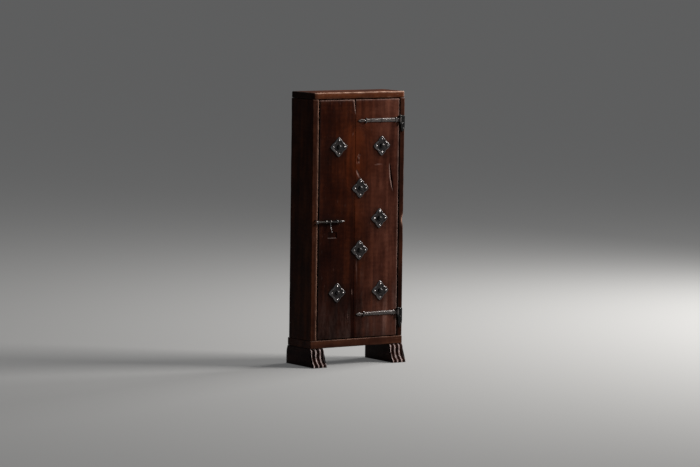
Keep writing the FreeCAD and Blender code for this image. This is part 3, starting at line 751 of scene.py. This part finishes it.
# Drying check: a dark ragged crack, with a painted highlight on the lip on its left where it catches the
# light
def check(points, width, depth, lit):
    path = [Vector(point) for point in points]

    def flaw(p, out):
        if out.y > FACING:
            return NOTHING
        x = p.x + CHECK_WANDER * noise.noise(Vector((p.z * 90, points[0][0] * 50, 0)))
        gap, share = near_path(path, x, p.z)
        if gap > width * CHECK_REACH:
            return NOTHING
        taper = math.sqrt(math.sin(math.pi * clamp(share, 0.02, 0.98)))
        cut = max(0.0, 1 - gap / (width * taper))
        lip_gap = near_path(path, x + LIP_PLACE * width * taper, p.z)[0]
        lip = lit * taper * bell(lip_gap, width * LIP_WIDTH)
        return Vector((0, depth * cut, 0)), lip * (1 - cut), min(1.0, cut * 1.6)

    return flaw


# Scar: a shallow pale hollow
def scar(points, width, depth):
    path = [Vector(point) for point in points]

    def flaw(p, out):
        gap, share = near_path(path, p.x, p.z)
        if out.y > FACING or gap > width:
            return NOTHING
        cut = (1 - (gap / width) ** 2) * math.sin(math.pi * clamp(share, 0.1, 0.9))
        return Vector((0, depth * cut, 0)), cut, 0.0

    return flaw


# Open split at the head of the plank joint: a wedge that narrows downwards, with its slope on the left worn
# pale and painted with a highlight
def split(x, top, width, length, depth):
    def flaw(p, out):
        wide = width * (p.z - top + length) / length
        if wide <= 0 or p.y > FRONT + depth:
            return NOTHING
        inside = p.x - x + wide + SPLIT_RAGGED * noise.noise(Vector((p.z * 120, 3.0, 0)))
        fall = max(0.0, inside - wide / 2)
        cut = min((SPLIT_SLOPE * max(0.0, inside) + SPLIT_FALL * fall) / depth, 0.97)
        pale = 1.2 * bell(inside - wide / 4, wide / 3 + SPLIT_SOFT) * min(1.0, wide / SPLIT_FADE)
        return Vector((0, cut * (depth - p.y + FRONT), 0)), pale, min(1.0, fall / SPLIT_DARK)

    return flaw


# Shallow finger recess, darker inside, with a painted highlight on its lower lip
def recess(x0, x1, z0, z1, depth):
    def flaw(p, out):
        inside = min(p.x - x0, x1 - p.x, p.z - z0, z1 - p.z) / RECESS_WALL
        if out.y > FACING or inside <= 0:
            return NOTHING
        lip = 0.2 if p.z < z0 + RECESS_LIP and inside < 2 else 0.0
        cut = min(inside, 1.0)
        return Vector((0, depth * cut, 0)), lip, 0.15 * cut

    return flaw


# Step along the inner back edge of a side for the back boards, darkened as painted shade; way is +1 where
# they lie to its right
def rabbet(x, way):
    def flaw(p, out):
        if (p.x - x) * way <= 0 or p.y <= BACK:
            return NOTHING
        return Vector((0, BACK - p.y, 0)), 0.0, 0.5

    return flaw


# Chip knocked out of an outer front edge, its broken face painted pale as a highlight
def chip(x, z, tall, deep):
    def flaw(p, out):
        close = bell(p.z - z, tall) * bell(p.x - x, CHIP_WIDE) * bell(p.y - FRONT, CHIP_BACK)
        if close < 0.02:
            return NOTHING
        return Vector((-math.copysign(1, x), 0.6, 0)) * deep * close, 1.6 * close, 0.0

    return flaw


# Hollow round a knot: a dark heart, then a pale broken ring
def knot_hollow(x, z, wide, tall):
    def flaw(p, out):
        reach = math.hypot((p.x - x) / wide, (p.z - z) / tall)
        if out.y > FACING or reach > 2:
            return NOTHING
        ring = bell(reach - 1, 0.3) * max(0.0, 0.4 + 1.6 * noise.noise(p * 120))
        dip = KNOT_DIP * bell(reach - 0.6, 0.4)
        return Vector((0, dip, 0)), 0.8 * ring, 0.9 * bell(reach, 0.5)

    return flaw


# Stains and painted light of the boards

# Nearness to the line x along the front edge of a side
def on_edge(p, x, wide, deep):
    return bell(p.x - x, wide) * bell(p.y - FRONT, deep)


def patch(p, x, z, wide, tall):
    return bell(p.x - x, wide) * bell(p.z - z, tall)


# Scuffs low down with a smooth pale bloom that paints the floor's reflection in the wax, scuffs by the
# joint, and along the right and top edges wear with a painted highlight; none on the joint below the split
def door_scuffs_and_highlights(p):
    worn = max(0.0, noise.noise(Vector((p.x * 34, 0, p.z * 4))))
    paling = worn * (0.32 * patch(p, *SCUFF_RIGHT) + 1.2 * patch(p, *SCUFF_JOINT))
    paling += (0.055 + 0.22 * worn) * bell(p.z - DOOR_FOOT, FOOT_SCUFF_AND_SHEEN)
    paling += 0.55 * bell(p.x - DOOR_RIGHT, EDGE_SCUFF_AND_HIGHLIGHT) + 0.45 * bell(p.z - DOOR_TOP, EDGE_SCUFF_AND_HIGHLIGHT)
    if p.z < SPLIT_FOOT:
        paling -= bell(p.x - JOINT, JOINT_CLEAN)
    return paling


# Painted shade behind the bolt, round the rosettes dropped a little below them, and in the gap at the left;
# the door is also darker along its foot
def door_painted_shade(p):
    shadow = 0.55 * patch(p, *BOLT_SHADE)
    for middle in ROSETTES:
        away = math.hypot(p.x - middle.x, p.z - middle.z + ROSETTE_DROP)
        shadow = max(shadow, 0.42 * near(away, *ROSETTE_SHADE))
    low = 0.5 * math.exp(-(p.z - DOOR_FOOT) / FOOT_DARK)
    return max(shadow, low, 0.9 * bell(p.x - DOOR_LEFT, GAP_SHADE))


# The door is burnished warm down its middle, and painted lighter towards the right as if lit from there
def door_stain(p):
    light = clamp((p.x - LIT_START + LIT_WANDER * noise.noise(p * 7)) / LIT_REACH)
    light *= light * (3 - 2 * light)
    if p.y > FRONT + DOOR_SKIN:
        return 0.0, 0.0, 0.0, light
    warm = patch(p, *WARM_HIGH) + 0.15 * patch(p, *WARM_LOW)
    return door_scuffs_and_highlights(p), door_painted_shade(p), warm * (0.7 + 0.5 * noise.noise(p * 9)), light


# One board of a set, lighter than its fellows by the share given
def light_stain(share):
    return lambda p: (0.0, 0.0, 0.0, share)


# Painted highlight along the line x on the front edge of a side
def edge_highlight(x):
    return lambda p: (0.8 * on_edge(p, x, *SIDE_HIGHLIGHT), 0.0, 0.0, 0.0)


# Painted shade on the front edge of a side beside the door, along the line x
def gap_shade(x):
    return lambda p: (0.0, 0.9 * on_edge(p, x, *SIDE_SHADE), 0.0, 0.0)


# Painted shade on the left end of the top board, where its rounded corner turns from the light, as dark as
# the side below it
def top_shade(p):
    return 0.0, 0.85 * math.exp(-max(0.0, p.x - TOP_LEFT - TOP_SHADE_START) / TOP_SHADE_REACH), 0.0, 0.0


# Feet

def arc_points(centre, radius, start, end, count):
    turns = [start + (end - start) * i / count for i in range(count)]
    return [(centre[0] + radius * math.cos(t), centre[1] + radius * math.sin(t)) for t in turns]


# Front curve in (y, z) from the top down: a bulge, a hollow and a toe that meet without a kink
def foot_front(front, toe_front, tall):
    bulge = (front + BULGE_RADIUS * math.cos(BULGE_START), tall - BULGE_RADIUS * math.sin(BULGE_START))
    join = (bulge[0] - BULGE_RADIUS * math.cos(BULGE_END), bulge[1] - BULGE_RADIUS * math.sin(BULGE_END))
    toe = (toe_front + TOE_RADIUS, TOE_RADIUS)
    ahead, below = join[0] - toe[0], join[1] - toe[1]
    lean = TOE_RADIUS + below * math.sin(BULGE_END) + ahead * math.cos(BULGE_END)
    hollow_radius = (ahead ** 2 + below ** 2 - TOE_RADIUS ** 2) / (2 * lean)
    hollow = (join[0] - hollow_radius * math.cos(BULGE_END), join[1] - hollow_radius * math.sin(BULGE_END))
    drop = math.atan2(hollow[1] - toe[1], toe[0] - hollow[0])
    curve = arc_points(bulge, BULGE_RADIUS, math.pi - BULGE_START, math.pi + BULGE_END, 14)
    curve += arc_points(hollow, hollow_radius, BULGE_END, -drop, 20)
    curve += arc_points(toe, TOE_RADIUS, math.pi - drop, math.pi, 8)
    return curve + [(toe_front, TOE_RADIUS * share) for share in (1.0, 0.6, 0.3, 0.0)]


# Side outline of a foot as a closed loop, its front curve first
def foot_loop(front, low, high, tail):
    rest = [(low.y + (high.y - low.y) * i / 24, 0.0) for i in range(1, 24)]
    rest += [(high.y, HEEL_RISE * i / 6) for i in range(7)]
    run, rise = high.y - tail, high.z - HEEL_RISE
    heel = (run ** 2 + rise ** 2) / (2 * run)
    rest += arc_points((high.y - heel, HEEL_RISE), heel, 0.0, math.asin(rise / heel), 8)[1:]
    rest += [(tail + (FRONT - tail) * i / 20, high.z) for i in range(20)]
    return front + rest


# Painted highlights across a foot: the lit wall of each flute, its right land and the foot's right edge
def flute_highlight(offset, to_edge):
    return near(offset, *LIT_WALL) + 0.5 * near(offset, *RIGHT_LAND) + near(to_edge, *RIGHT_LINE)


# Foot: the side outline is carried across its width, with soft side edges and flutes sunk in its front
def carved_foot(node, body, material, slot):
    low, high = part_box(node)
    front = foot_front(FRONT, low.y, high.z)
    loop = foot_loop(front, low, high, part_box("bottom_board")[1].y)
    count = len(loop)
    wide = high.x - low.x
    pitch = wide / FLUTES
    columns = [wide * i / FOOT_COLUMNS for i in range(1, FOOT_COLUMNS)]
    columns = [0.0, 0.0, FOOT_FIRST, *columns, wide - FOOT_FIRST, wide, wide]
    points, marks, faces = [], [], []
    for c, across in enumerate(columns):
        cap = c in (0, len(columns) - 1)
        eased = 1 - min(across / FOOT_EDGE, (wide - across) / FOOT_EDGE, 1.0)
        inset = FOOT_EASE * eased ** 2 + (FOOT_CAP if cap else 0.0)
        offset = ((across % pitch) - pitch / 2) / ((pitch - FLUTE_LAND) / 2)
        flute = FLUTE_DEPTH * max(0.0, 1 - offset * offset)
        # Painted highlight on the lit walls and lands, and painted shade on the dark walls of the flutes
        pale_mark, shade = flute_highlight(offset, wide - across), 0.55 * near(offset, *DARK_WALL)
        for i, (y, z) in enumerate(loop):
            before, after = loop[i - 1], loop[(i + 1) % count]
            tangent = Vector((after[0] - before[0], after[1] - before[1])).normalized()
            on_front = i < len(front) - 1
            grain = noise.noise(Vector(((low.x + across) * 60, y * 25, z * 25)))
            depth = inset + (flute if on_front else 0.0) + FOOT_ROUGH * (0.5 + 0.5 * grain)
            height = clamp(z + tangent.x * depth, 0.0, high.z)
            points.append(Vector((low.x + across, y - tangent.y * depth, height)))
            carved = (pale_mark * (0.75 + 0.5 * grain), shade, FOOT_WARM, 0.0)
            marks.append(carved if on_front and not cap else (0.0, 0.0, 0.0, 0.0))
    close_rings(faces, 0, len(columns), count)
    add_piece(node + "_carved", body, slot, material, points, faces, marks, node)


# Ironwork

# Dome standing out from the front at (x, y, z), a little uneven from the hammer
def dome(points, faces, x, y, z, radius, rise):
    first = len(points)
    for k in range(DOME_RINGS):
        lift = (k / DOME_RINGS) ** 0.9 * math.pi / 2
        for turn in ring_turns(DOME_AROUND):
            way = Vector((math.cos(turn), -math.sin(lift), math.sin(turn)))
            uneven = 0.95 - 0.05 * noise.noise(way + Vector((x, y, z)) * 90)
            out = radius * uneven * math.cos(lift) ** 0.85
            points.append(Vector((x + out * way.x, y + rise * way.y, z + out * way.z)))
    close_rings(faces, first, DOME_RINGS, DOME_AROUND)


def circle_through(a, b, c):
    p, q = b - a, c - a
    cross = 2 * (p.x * q.y - p.y * q.x)
    x = (q.y * p.length_squared - p.y * q.length_squared) / cross
    y = (p.x * q.length_squared - q.x * p.length_squared) / cross
    return a + Vector((x, y)), math.hypot(x, y)


# Distance from the middle of a rosette to its lobed edge: an arc from the tip to the notch, mirrored
def rosette_edge(turn):
    tip = Vector((ROSETTE_REACH, 0.0))
    shoulder = Vector(ROSETTE_SHOULDER) * ROSETTE_REACH
    dip = Vector((1.0, 1.0)) * ROSETTE_NOTCH * math.sqrt(0.5)
    centre, radius = circle_through(tip, shoulder, dip)
    turn = turn % (math.pi / 2)
    turn = min(turn, math.pi / 2 - turn)
    along = centre.dot(Vector((math.cos(turn), math.sin(turn))))
    return along + math.sqrt(max(0.0, along ** 2 - centre.length_squared + radius ** 2))


# Rosette plate: a soft slope up from the edge, a raised border and a sunk, hammered field
def rosette(node, middle, material):
    border = [1 - BORDER_SHARE * (i / (BORDER_RINGS - 1)) ** 1.2 for i in range(BORDER_RINGS)]
    shares = [1.0, *border, *FIELD_RINGS]
    points, faces, marks = [], [], []
    for k, share in enumerate(shares):
        for turn in ring_turns(ROSETTE_AROUND):
            reach = rosette_edge(turn)
            x, z = reach * share * math.cos(turn), reach * share * math.sin(turn)
            climb = min(reach * (1 - share) * 0.8 / ROSETTE_SLOPE, 1.0)
            lift = ROSETTE_RIM + (ROSETTE_THICK - ROSETTE_RIM) * math.sin(climb * math.pi / 2)
            field = (ROSETTE_FIELD - abs(x) - abs(z)) / math.sqrt(2) / ROSETTE_WALL
            lift -= ROSETTE_SINK * clamp(field)
            lift -= ROSETTE_DINTS * (0.5 + 0.5 * noise.noise(Vector((x * 150, len(node), z * 150))))
            points.append(Vector((middle.x + x, FRONT - (lift if k else 0.0), middle.z + z)))
            # Pale mark on the slope: wear, and a painted highlight on the rim
            marks.append((0.3 * math.sin(math.pi * climb), 0.0, 0.0, 0.0))
    close_rings(faces, 0, len(shares), ROSETTE_AROUND)
    add_piece(node + "_forged", "door", "wrought_iron", material, points, faces, marks, node)


# Four nails in the field of each rosette, and a boss in its middle
def rosette_heads(nail_material, boss_material):
    field_y = FRONT - ROSETTE_THICK + ROSETTE_SINK + HEAD_SEAT
    points, faces = [], []
    for middle in ROSETTES:
        for turn in ring_turns(4):
            x, z = middle.x + NAIL_RING * math.cos(turn), middle.z + NAIL_RING * math.sin(turn)
            dome(points, faces, x, field_y, z, NAIL_RADIUS, NAIL_RISE)
    add_piece("rosette_nail_heads", "door", "nail_iron", nail_material, points, faces,
              plain_marks(points), "rosette_nails")
    points, faces = [], []
    for middle in ROSETTES:
        dome(points, faces, middle.x, field_y, middle.z, BOSS_RADIUS, BOSS_RISE)
    add_piece("rosette_domes", "door", "wrought_iron", boss_material, points, faces,
              plain_marks(points), "rosette_bosses")


# Turned piece round the line of the rod, from (offset, radius) pairs
def lathe(points, faces, start, outline, around, bore=False):
    first = len(points)
    for offset, radius in outline:
        for turn in ring_turns(around):
            y = ROD_LINE.y + radius * math.cos(turn)
            points.append(Vector((start + offset, y, ROD_LINE.z + radius * math.sin(turn))))
    close_rings(faces, first, len(outline), around, bore)


def set_off(start, outline):
    return [(start + offset, radius) for offset, radius in outline]


# Bolt: blunt nose, long shank, stop ring, knob and spike
def bolt(material):
    long = ROD_HIGH.x - ROD_LOW.x
    nose = [(0.0, 0.0004), (0.0003, 0.002), (0.0012, 0.0038), (0.0028, 0.0049), (0.004, ROD_RADIUS)]
    ring = [(0.0, ROD_RADIUS), (0.0003, 0.0056), (0.0007, 0.0065), (0.003, 0.0065), (0.0035, 0.0054)]
    knob = [(0.0, 0.0041), (0.0015, 0.0048), (0.0032, 0.006), (0.0045, 0.0065), (0.006, 0.0062),
            (0.008, 0.005), (0.0095, 0.0036)]
    spike = [(0.0, 0.0037), (0.0015, 0.0034)]
    point = [(-0.003, 0.0012), (-0.0005, 0.0006), (0.0, 0.0002)]
    outline = nose + set_off(RING_START, ring) + set_off(KNOB_START, knob)
    outline += set_off(SPIKE_START, spike) + set_off(long, point)
    points, faces = [], []
    lathe(points, faces, ROD_LOW.x, outline, ROD_AROUND)
    add_piece("bolt_rod_forged", "bolt", "wrought_iron", material, points, faces,
              plain_marks(points), "bolt_rod")


# Drop handle: a rounded eye on the rod and a tail that swings forward and thins to a small knob
def handle(material):
    points, faces = [], []
    wide = HANDLE_HIGH.x - HANDLE_LOW.x
    cheek = EYE_RADIUS - EYE_EASE
    eye = [(0.0, EYE_BORE), (0.0, cheek), (EYE_EASE, EYE_CROWN), (wide / 2, EYE_RADIUS),
           (wide - EYE_EASE, EYE_CROWN), (wide, cheek), (wide, EYE_BORE), (wide / 2, EYE_BORE)]
    lathe(points, faces, HANDLE_LOW.x, eye, EYE_AROUND, bore=True)
    x = (HANDLE_LOW.x + HANDLE_HIGH.x) / 2
    root, end = ROD_LINE.z - TAIL_ROOT, HANDLE_LOW.z + TAIL_TIP
    first = len(points)
    for k in range(TAIL_STEPS + 1):
        share = k / TAIL_STEPS
        z = root + (end - root) * share
        y = ROD_LINE.y - TAIL_CURL * (0.5 - 0.5 * math.cos(math.pi * share))
        tail = TAIL_RADIUS - TAIL_THINS * share if z > end + TAIL_KNOB else TAIL_TIP
        ball = max(0.0, TAIL_KNOB ** 2 - (z - end - TAIL_KNOB) ** 2)
        radius = max(tail, math.sqrt(ball))
        for turn in ring_turns(TAIL_AROUND):
            points.append(Vector((x + radius * math.cos(turn), y - radius * math.sin(turn), z)))
    close_rings(faces, first, TAIL_STEPS + 1, TAIL_AROUND)
    add_piece("bolt_handle_forged", "handle", "wrought_iron", material, points, faces,
              plain_marks(points), "bolt_handle")


# Materials of the part
door_wood = wood("door_wood", DOOR, DOOR_WORN_AND_LIT, "Z", shift=(0.21, 0.06, 0.3), gloss=(0.3, 0.46),
                 knot=KNOT, light=DOOR_LIT)
upright_wood = wood("upright_wood", UPRIGHT, FRAME_WORN_AND_LIT, "Z", shift=(0.6, 0.1, 0.0), gloss=(0.32, 0.5))
cross_wood = wood("cross_wood", CROSS, TOP_WORN_AND_LIT, "X", shift=(0.1, 0.4, 0.25), gloss=(0.42, 0.58))
base_wood = wood("base_wood", BASE, FRAME_WORN_AND_LIT, "X", shift=(0.4, 0.7, 0.1), gloss=(0.3, 0.46))
foot_wood = wood("foot_wood", FOOT, FOOT_WORN_AND_LIT, "Y", shift=(0.33, 0.2, 0.15), gloss=(0.24, 0.36))
inner_wood = wood("inner_wood", INNER, FRAME_WORN_AND_LIT, "Z", shift=(0.7, 0.3, 0.2), gloss=(0.55, 0.75),
                  light=INNER_LIGHT)
shelf_wood = wood("shelf_wood", INNER, FRAME_WORN_AND_LIT, "X", shift=(0.5, 0.2, 0.6), gloss=(0.55, 0.75),
                  light=INNER_LIGHT)
peg_wood = wood("peg_wood", CROSS, FRAME_WORN_AND_LIT, "Z", shift=(0.2, 0.9, 0.4), gloss=(0.4, 0.6))
strap_iron = iron("strap_iron", STRAP, rough=0.36, dint=110.0, deep=0.7)
shaded_leaf_iron = iron("shaded_leaf_iron", SHADED_LEAF, rough=0.42, dint=110.0)
plate_iron = iron("plate_iron", PLATE, rough=0.32, dint=150.0)
boss_iron = iron("boss_iron", BOSS, rough=0.3, dint=170.0)
bolt_iron = iron("bolt_iron", BOLT, rough=0.3, dint=140.0, deep=0.35)
nail_iron = iron("nail_iron", NAIL, rough=0.28, dint=240.0)


def node_material(name):
    if name.startswith("back_board"):
        return inner_wood
    if name.endswith(("_shelf", "_ledge", "_cleats", "_stop")):
        return shelf_wood
    if name.endswith("_pegs"):
        return peg_wood
    if name.endswith("_nails"):
        return boss_iron
    if name.endswith("_strap"):
        return strap_iron
    if name.endswith(("_leaf", "_pin")):
        return shaded_leaf_iron
    return bolt_iron


for name, node in nodes.items():
    node.data.materials.clear()
    node.data.materials.append(node_material(name))

# Door planks with their flaws, and finer grid lines there: from, to and pitch
left_flaws = [
    split(JOINT, DOOR_TOP, SPLIT_WIDTH, SPLIT_LENGTH, SPLIT_DEPTH),
    recess(*RECESS, depth=RECESS_DEPTH),
    check(LENS_LEFT, width=0.0012, depth=0.0018, lit=0.3),
    check(LENS_RIGHT, width=0.0014, depth=0.002, lit=0.5),
    scar(LOW_SCAR, width=0.0028, depth=0.0012),
]
left_finer = {
    "x": [(JOINT - 0.016, JOINT, 0.001), (-0.0645, -0.045, 0.0011), (-0.176, -0.12, 0.0015)],
    "z": [(DOOR_TOP - 0.08, DOOR_TOP, 0.004), (0.606, 0.642, 0.0015)],
}
right_flaws = [
    check(LONG_CHECK, width=0.005, depth=0.008, lit=1.5),
    scar(JOINT_SCAR, width=0.0055, depth=0.002),
    scar(HIGH_SCAR, width=0.0014, depth=0.0006),
    knot_hollow(x=-0.006, z=0.978, wide=0.009, tall=0.016),
    knot_hollow(x=0.0045, z=1.002, wide=0.005, tall=0.008),
]
right_finer = {"x": [(JOINT, 0.014, 0.0015), (0.172, 0.205, 0.0011)], "z": [(0.825, 1.01, 0.003)]}
board("door_plank_left", "door", door_wood, "door_wood", "z", radius=0.0022,
      finer=left_finer, flaws=left_flaws, stain=door_stain, right=JOINT)
board("door_plank_right", "door", door_wood, "door_wood", "z", radius=0.0022,
      finer=right_finer, flaws=right_flaws, stain=door_stain)

# Carcass, with two close lines where a rabbet's step falls
side_chip = chip(RIGHT_EDGE, z=0.684, tall=0.02, deep=0.0052)
left_step, right_step = [{"x": [(x, x + STEP_GAP, STEP_GAP)]} for x in (BACK_LEFT, BACK_RIGHT - STEP_GAP)]
board("left_side", "carcass", upright_wood, "frame_wood", "z", radius=0.004, wear_and_highlight=1.5,
      finer=left_step, flaws=[rabbet(BACK_LEFT, 1)], stain=edge_highlight(LEFT_INNER))
board("right_side", "carcass", upright_wood, "frame_wood", "z", radius=0.0045,
      finer=right_step, flaws=[rabbet(BACK_RIGHT, -1), side_chip], stain=gap_shade(RIGHT_INNER))
board("top_board", "carcass", cross_wood, "frame_wood", "x", radius=0.008, wave=0.001, wear_and_highlight=2.3,
      corner=0.016, stain=top_shade)
board("bottom_board", "carcass", base_wood, "frame_wood", "x", radius=0.004, wave=0.001, wear_and_highlight=1.5)
back_boards = ["back_board_left", "back_board_middle", "back_board_right"]
laps = [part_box(name)[0].x for name in back_boards[1:]] + [None]
for name, lap, share in zip(back_boards, laps, (0.55, 0.0, 0.8)):
    board(name, "carcass", inner_wood, "inner_wood", "z", radius=0.002, wave=0.001,
          stain=light_stain(share), right=lap)
for name, share in (("lower_shelf", 0.7), ("upper_shelf", 0.35)):
    board(name, "carcass", shelf_wood, "inner_wood", "x", stain=light_stain(share))
for name in ("lower_ledge", "upper_ledge"):
    board(name, "door", base_wood, "inner_wood", "x", radius=0.004, wave=0.001)
for name in ("left_foot", "right_foot"):
    carved_foot(name, "carcass", foot_wood, "frame_wood")

# Fittings
for name, middle in zip(PLATES, ROSETTES):
    rosette(name, middle, plate_iron)
rosette_heads(nail_iron, boss_iron)
bolt(bolt_iron)
handle(bolt_iron)


# Floor, light and camera

# Pale floor, lifted a little where the camera or a glossy surface sees it
def make_floor():
    material, tree, shader = new_material("pale_floor")
    shader.inputs["Base Color"].default_value = FLOOR_COLOUR
    shader.inputs["Roughness"].default_value = FLOOR_ROUGH
    shader.inputs["Specular IOR Level"].default_value = 0.0
    ray = add_node(tree, "LightPath").outputs
    seen = calc(tree, "MAXIMUM", ray["Is Camera Ray"], ray["Is Glossy Ray"])
    shader.inputs["Emission Color"].default_value = (1.0, 1.0, 1.0, 1.0)
    plug(tree, shader.inputs["Emission Strength"], calc(tree, "MULTIPLY", seen, FLOOR_LIFT))
    corners = [(x * FLOOR_REACH, y * FLOOR_REACH, 0) for x, y in ((-1, -1), (1, -1), (1, 1), (-1, 1))]
    mesh = bpy.data.meshes.new("floor")
    mesh.from_pydata(corners, [], [(0, 1, 2, 3)])
    mesh.materials.append(material)
    floor = bpy.data.objects.new("floor", mesh)
    bpy.context.scene.collection.objects.link(floor)


# Soft square lamp, placed by its turn from the front towards the right and its height, in degrees
def make_lamp(name, turn, lift, away, size, power, colour):
    turn, lift = math.radians(turn), math.radians(lift)
    way = Vector((math.sin(turn) * math.cos(lift), -math.cos(turn) * math.cos(lift), math.sin(lift)))
    data = bpy.data.lights.new(name, "AREA")
    data.size = size
    data.energy = power
    data.color = colour
    lamp = bpy.data.objects.new(name, data)
    lamp.location = Vector(LAMP_TARGET) + way * away
    lamp.rotation_euler = way.to_track_quat("Z", "Y").to_euler()
    bpy.context.scene.collection.objects.link(lamp)


def make_world():
    world = bpy.data.worlds.new("studio")
    world.use_nodes = True
    background = world.node_tree.nodes["Background"]
    background.inputs["Color"].default_value = WORLD_COLOUR
    background.inputs["Strength"].default_value = WORLD_STRENGTH
    bpy.context.scene.world = world


def make_camera():
    azimuth, elevation, roll = [math.radians(a) for a in (CAMERA_AZIMUTH, CAMERA_ELEVATION, CAMERA_ROLL)]
    level = math.cos(elevation)
    back = Vector((math.sin(azimuth) * level, -math.cos(azimuth) * level, math.sin(elevation)))
    right = Vector((math.cos(azimuth), math.sin(azimuth), 0))
    up = back.cross(right)
    turned_right = right * math.cos(roll) + up * math.sin(roll)
    turned_up = up * math.cos(roll) - right * math.sin(roll)
    target = Vector((0, FRONT, cad_box[1][2] / 2))
    target += turned_right * (IMAGE_WIDTH / 2 - CENTRE_PIXEL[0]) / PIXELS_PER_METRE
    target -= turned_up * (IMAGE_HEIGHT / 2 - CENTRE_PIXEL[1]) / PIXELS_PER_METRE
    data = bpy.data.cameras.new("photo_camera")
    data.sensor_width = SENSOR_WIDTH
    data.sensor_fit = "HORIZONTAL"
    data.lens = PIXELS_PER_METRE * CAMERA_DISTANCE / IMAGE_WIDTH * SENSOR_WIDTH
    data.clip_end = CAMERA_SIGHT
    camera = bpy.data.objects.new("photo_camera", data)
    turn = Matrix((turned_right, turned_up, back)).transposed()
    camera.matrix_world = Matrix.Translation(target + back * CAMERA_DISTANCE) @ turn.to_4x4()
    bpy.context.scene.collection.objects.link(camera)
    bpy.context.scene.camera = camera


make_floor()
make_world()
make_lamp("key", turn=60, lift=34, away=6.0, size=2.4, power=690.0, colour=(1.0, 0.975, 0.95))
make_lamp("edge", turn=98, lift=26, away=5.0, size=2.0, power=270.0, colour=(1.0, 0.985, 0.97))
make_camera()
bpy.context.scene.view_settings.view_transform = "Standard"
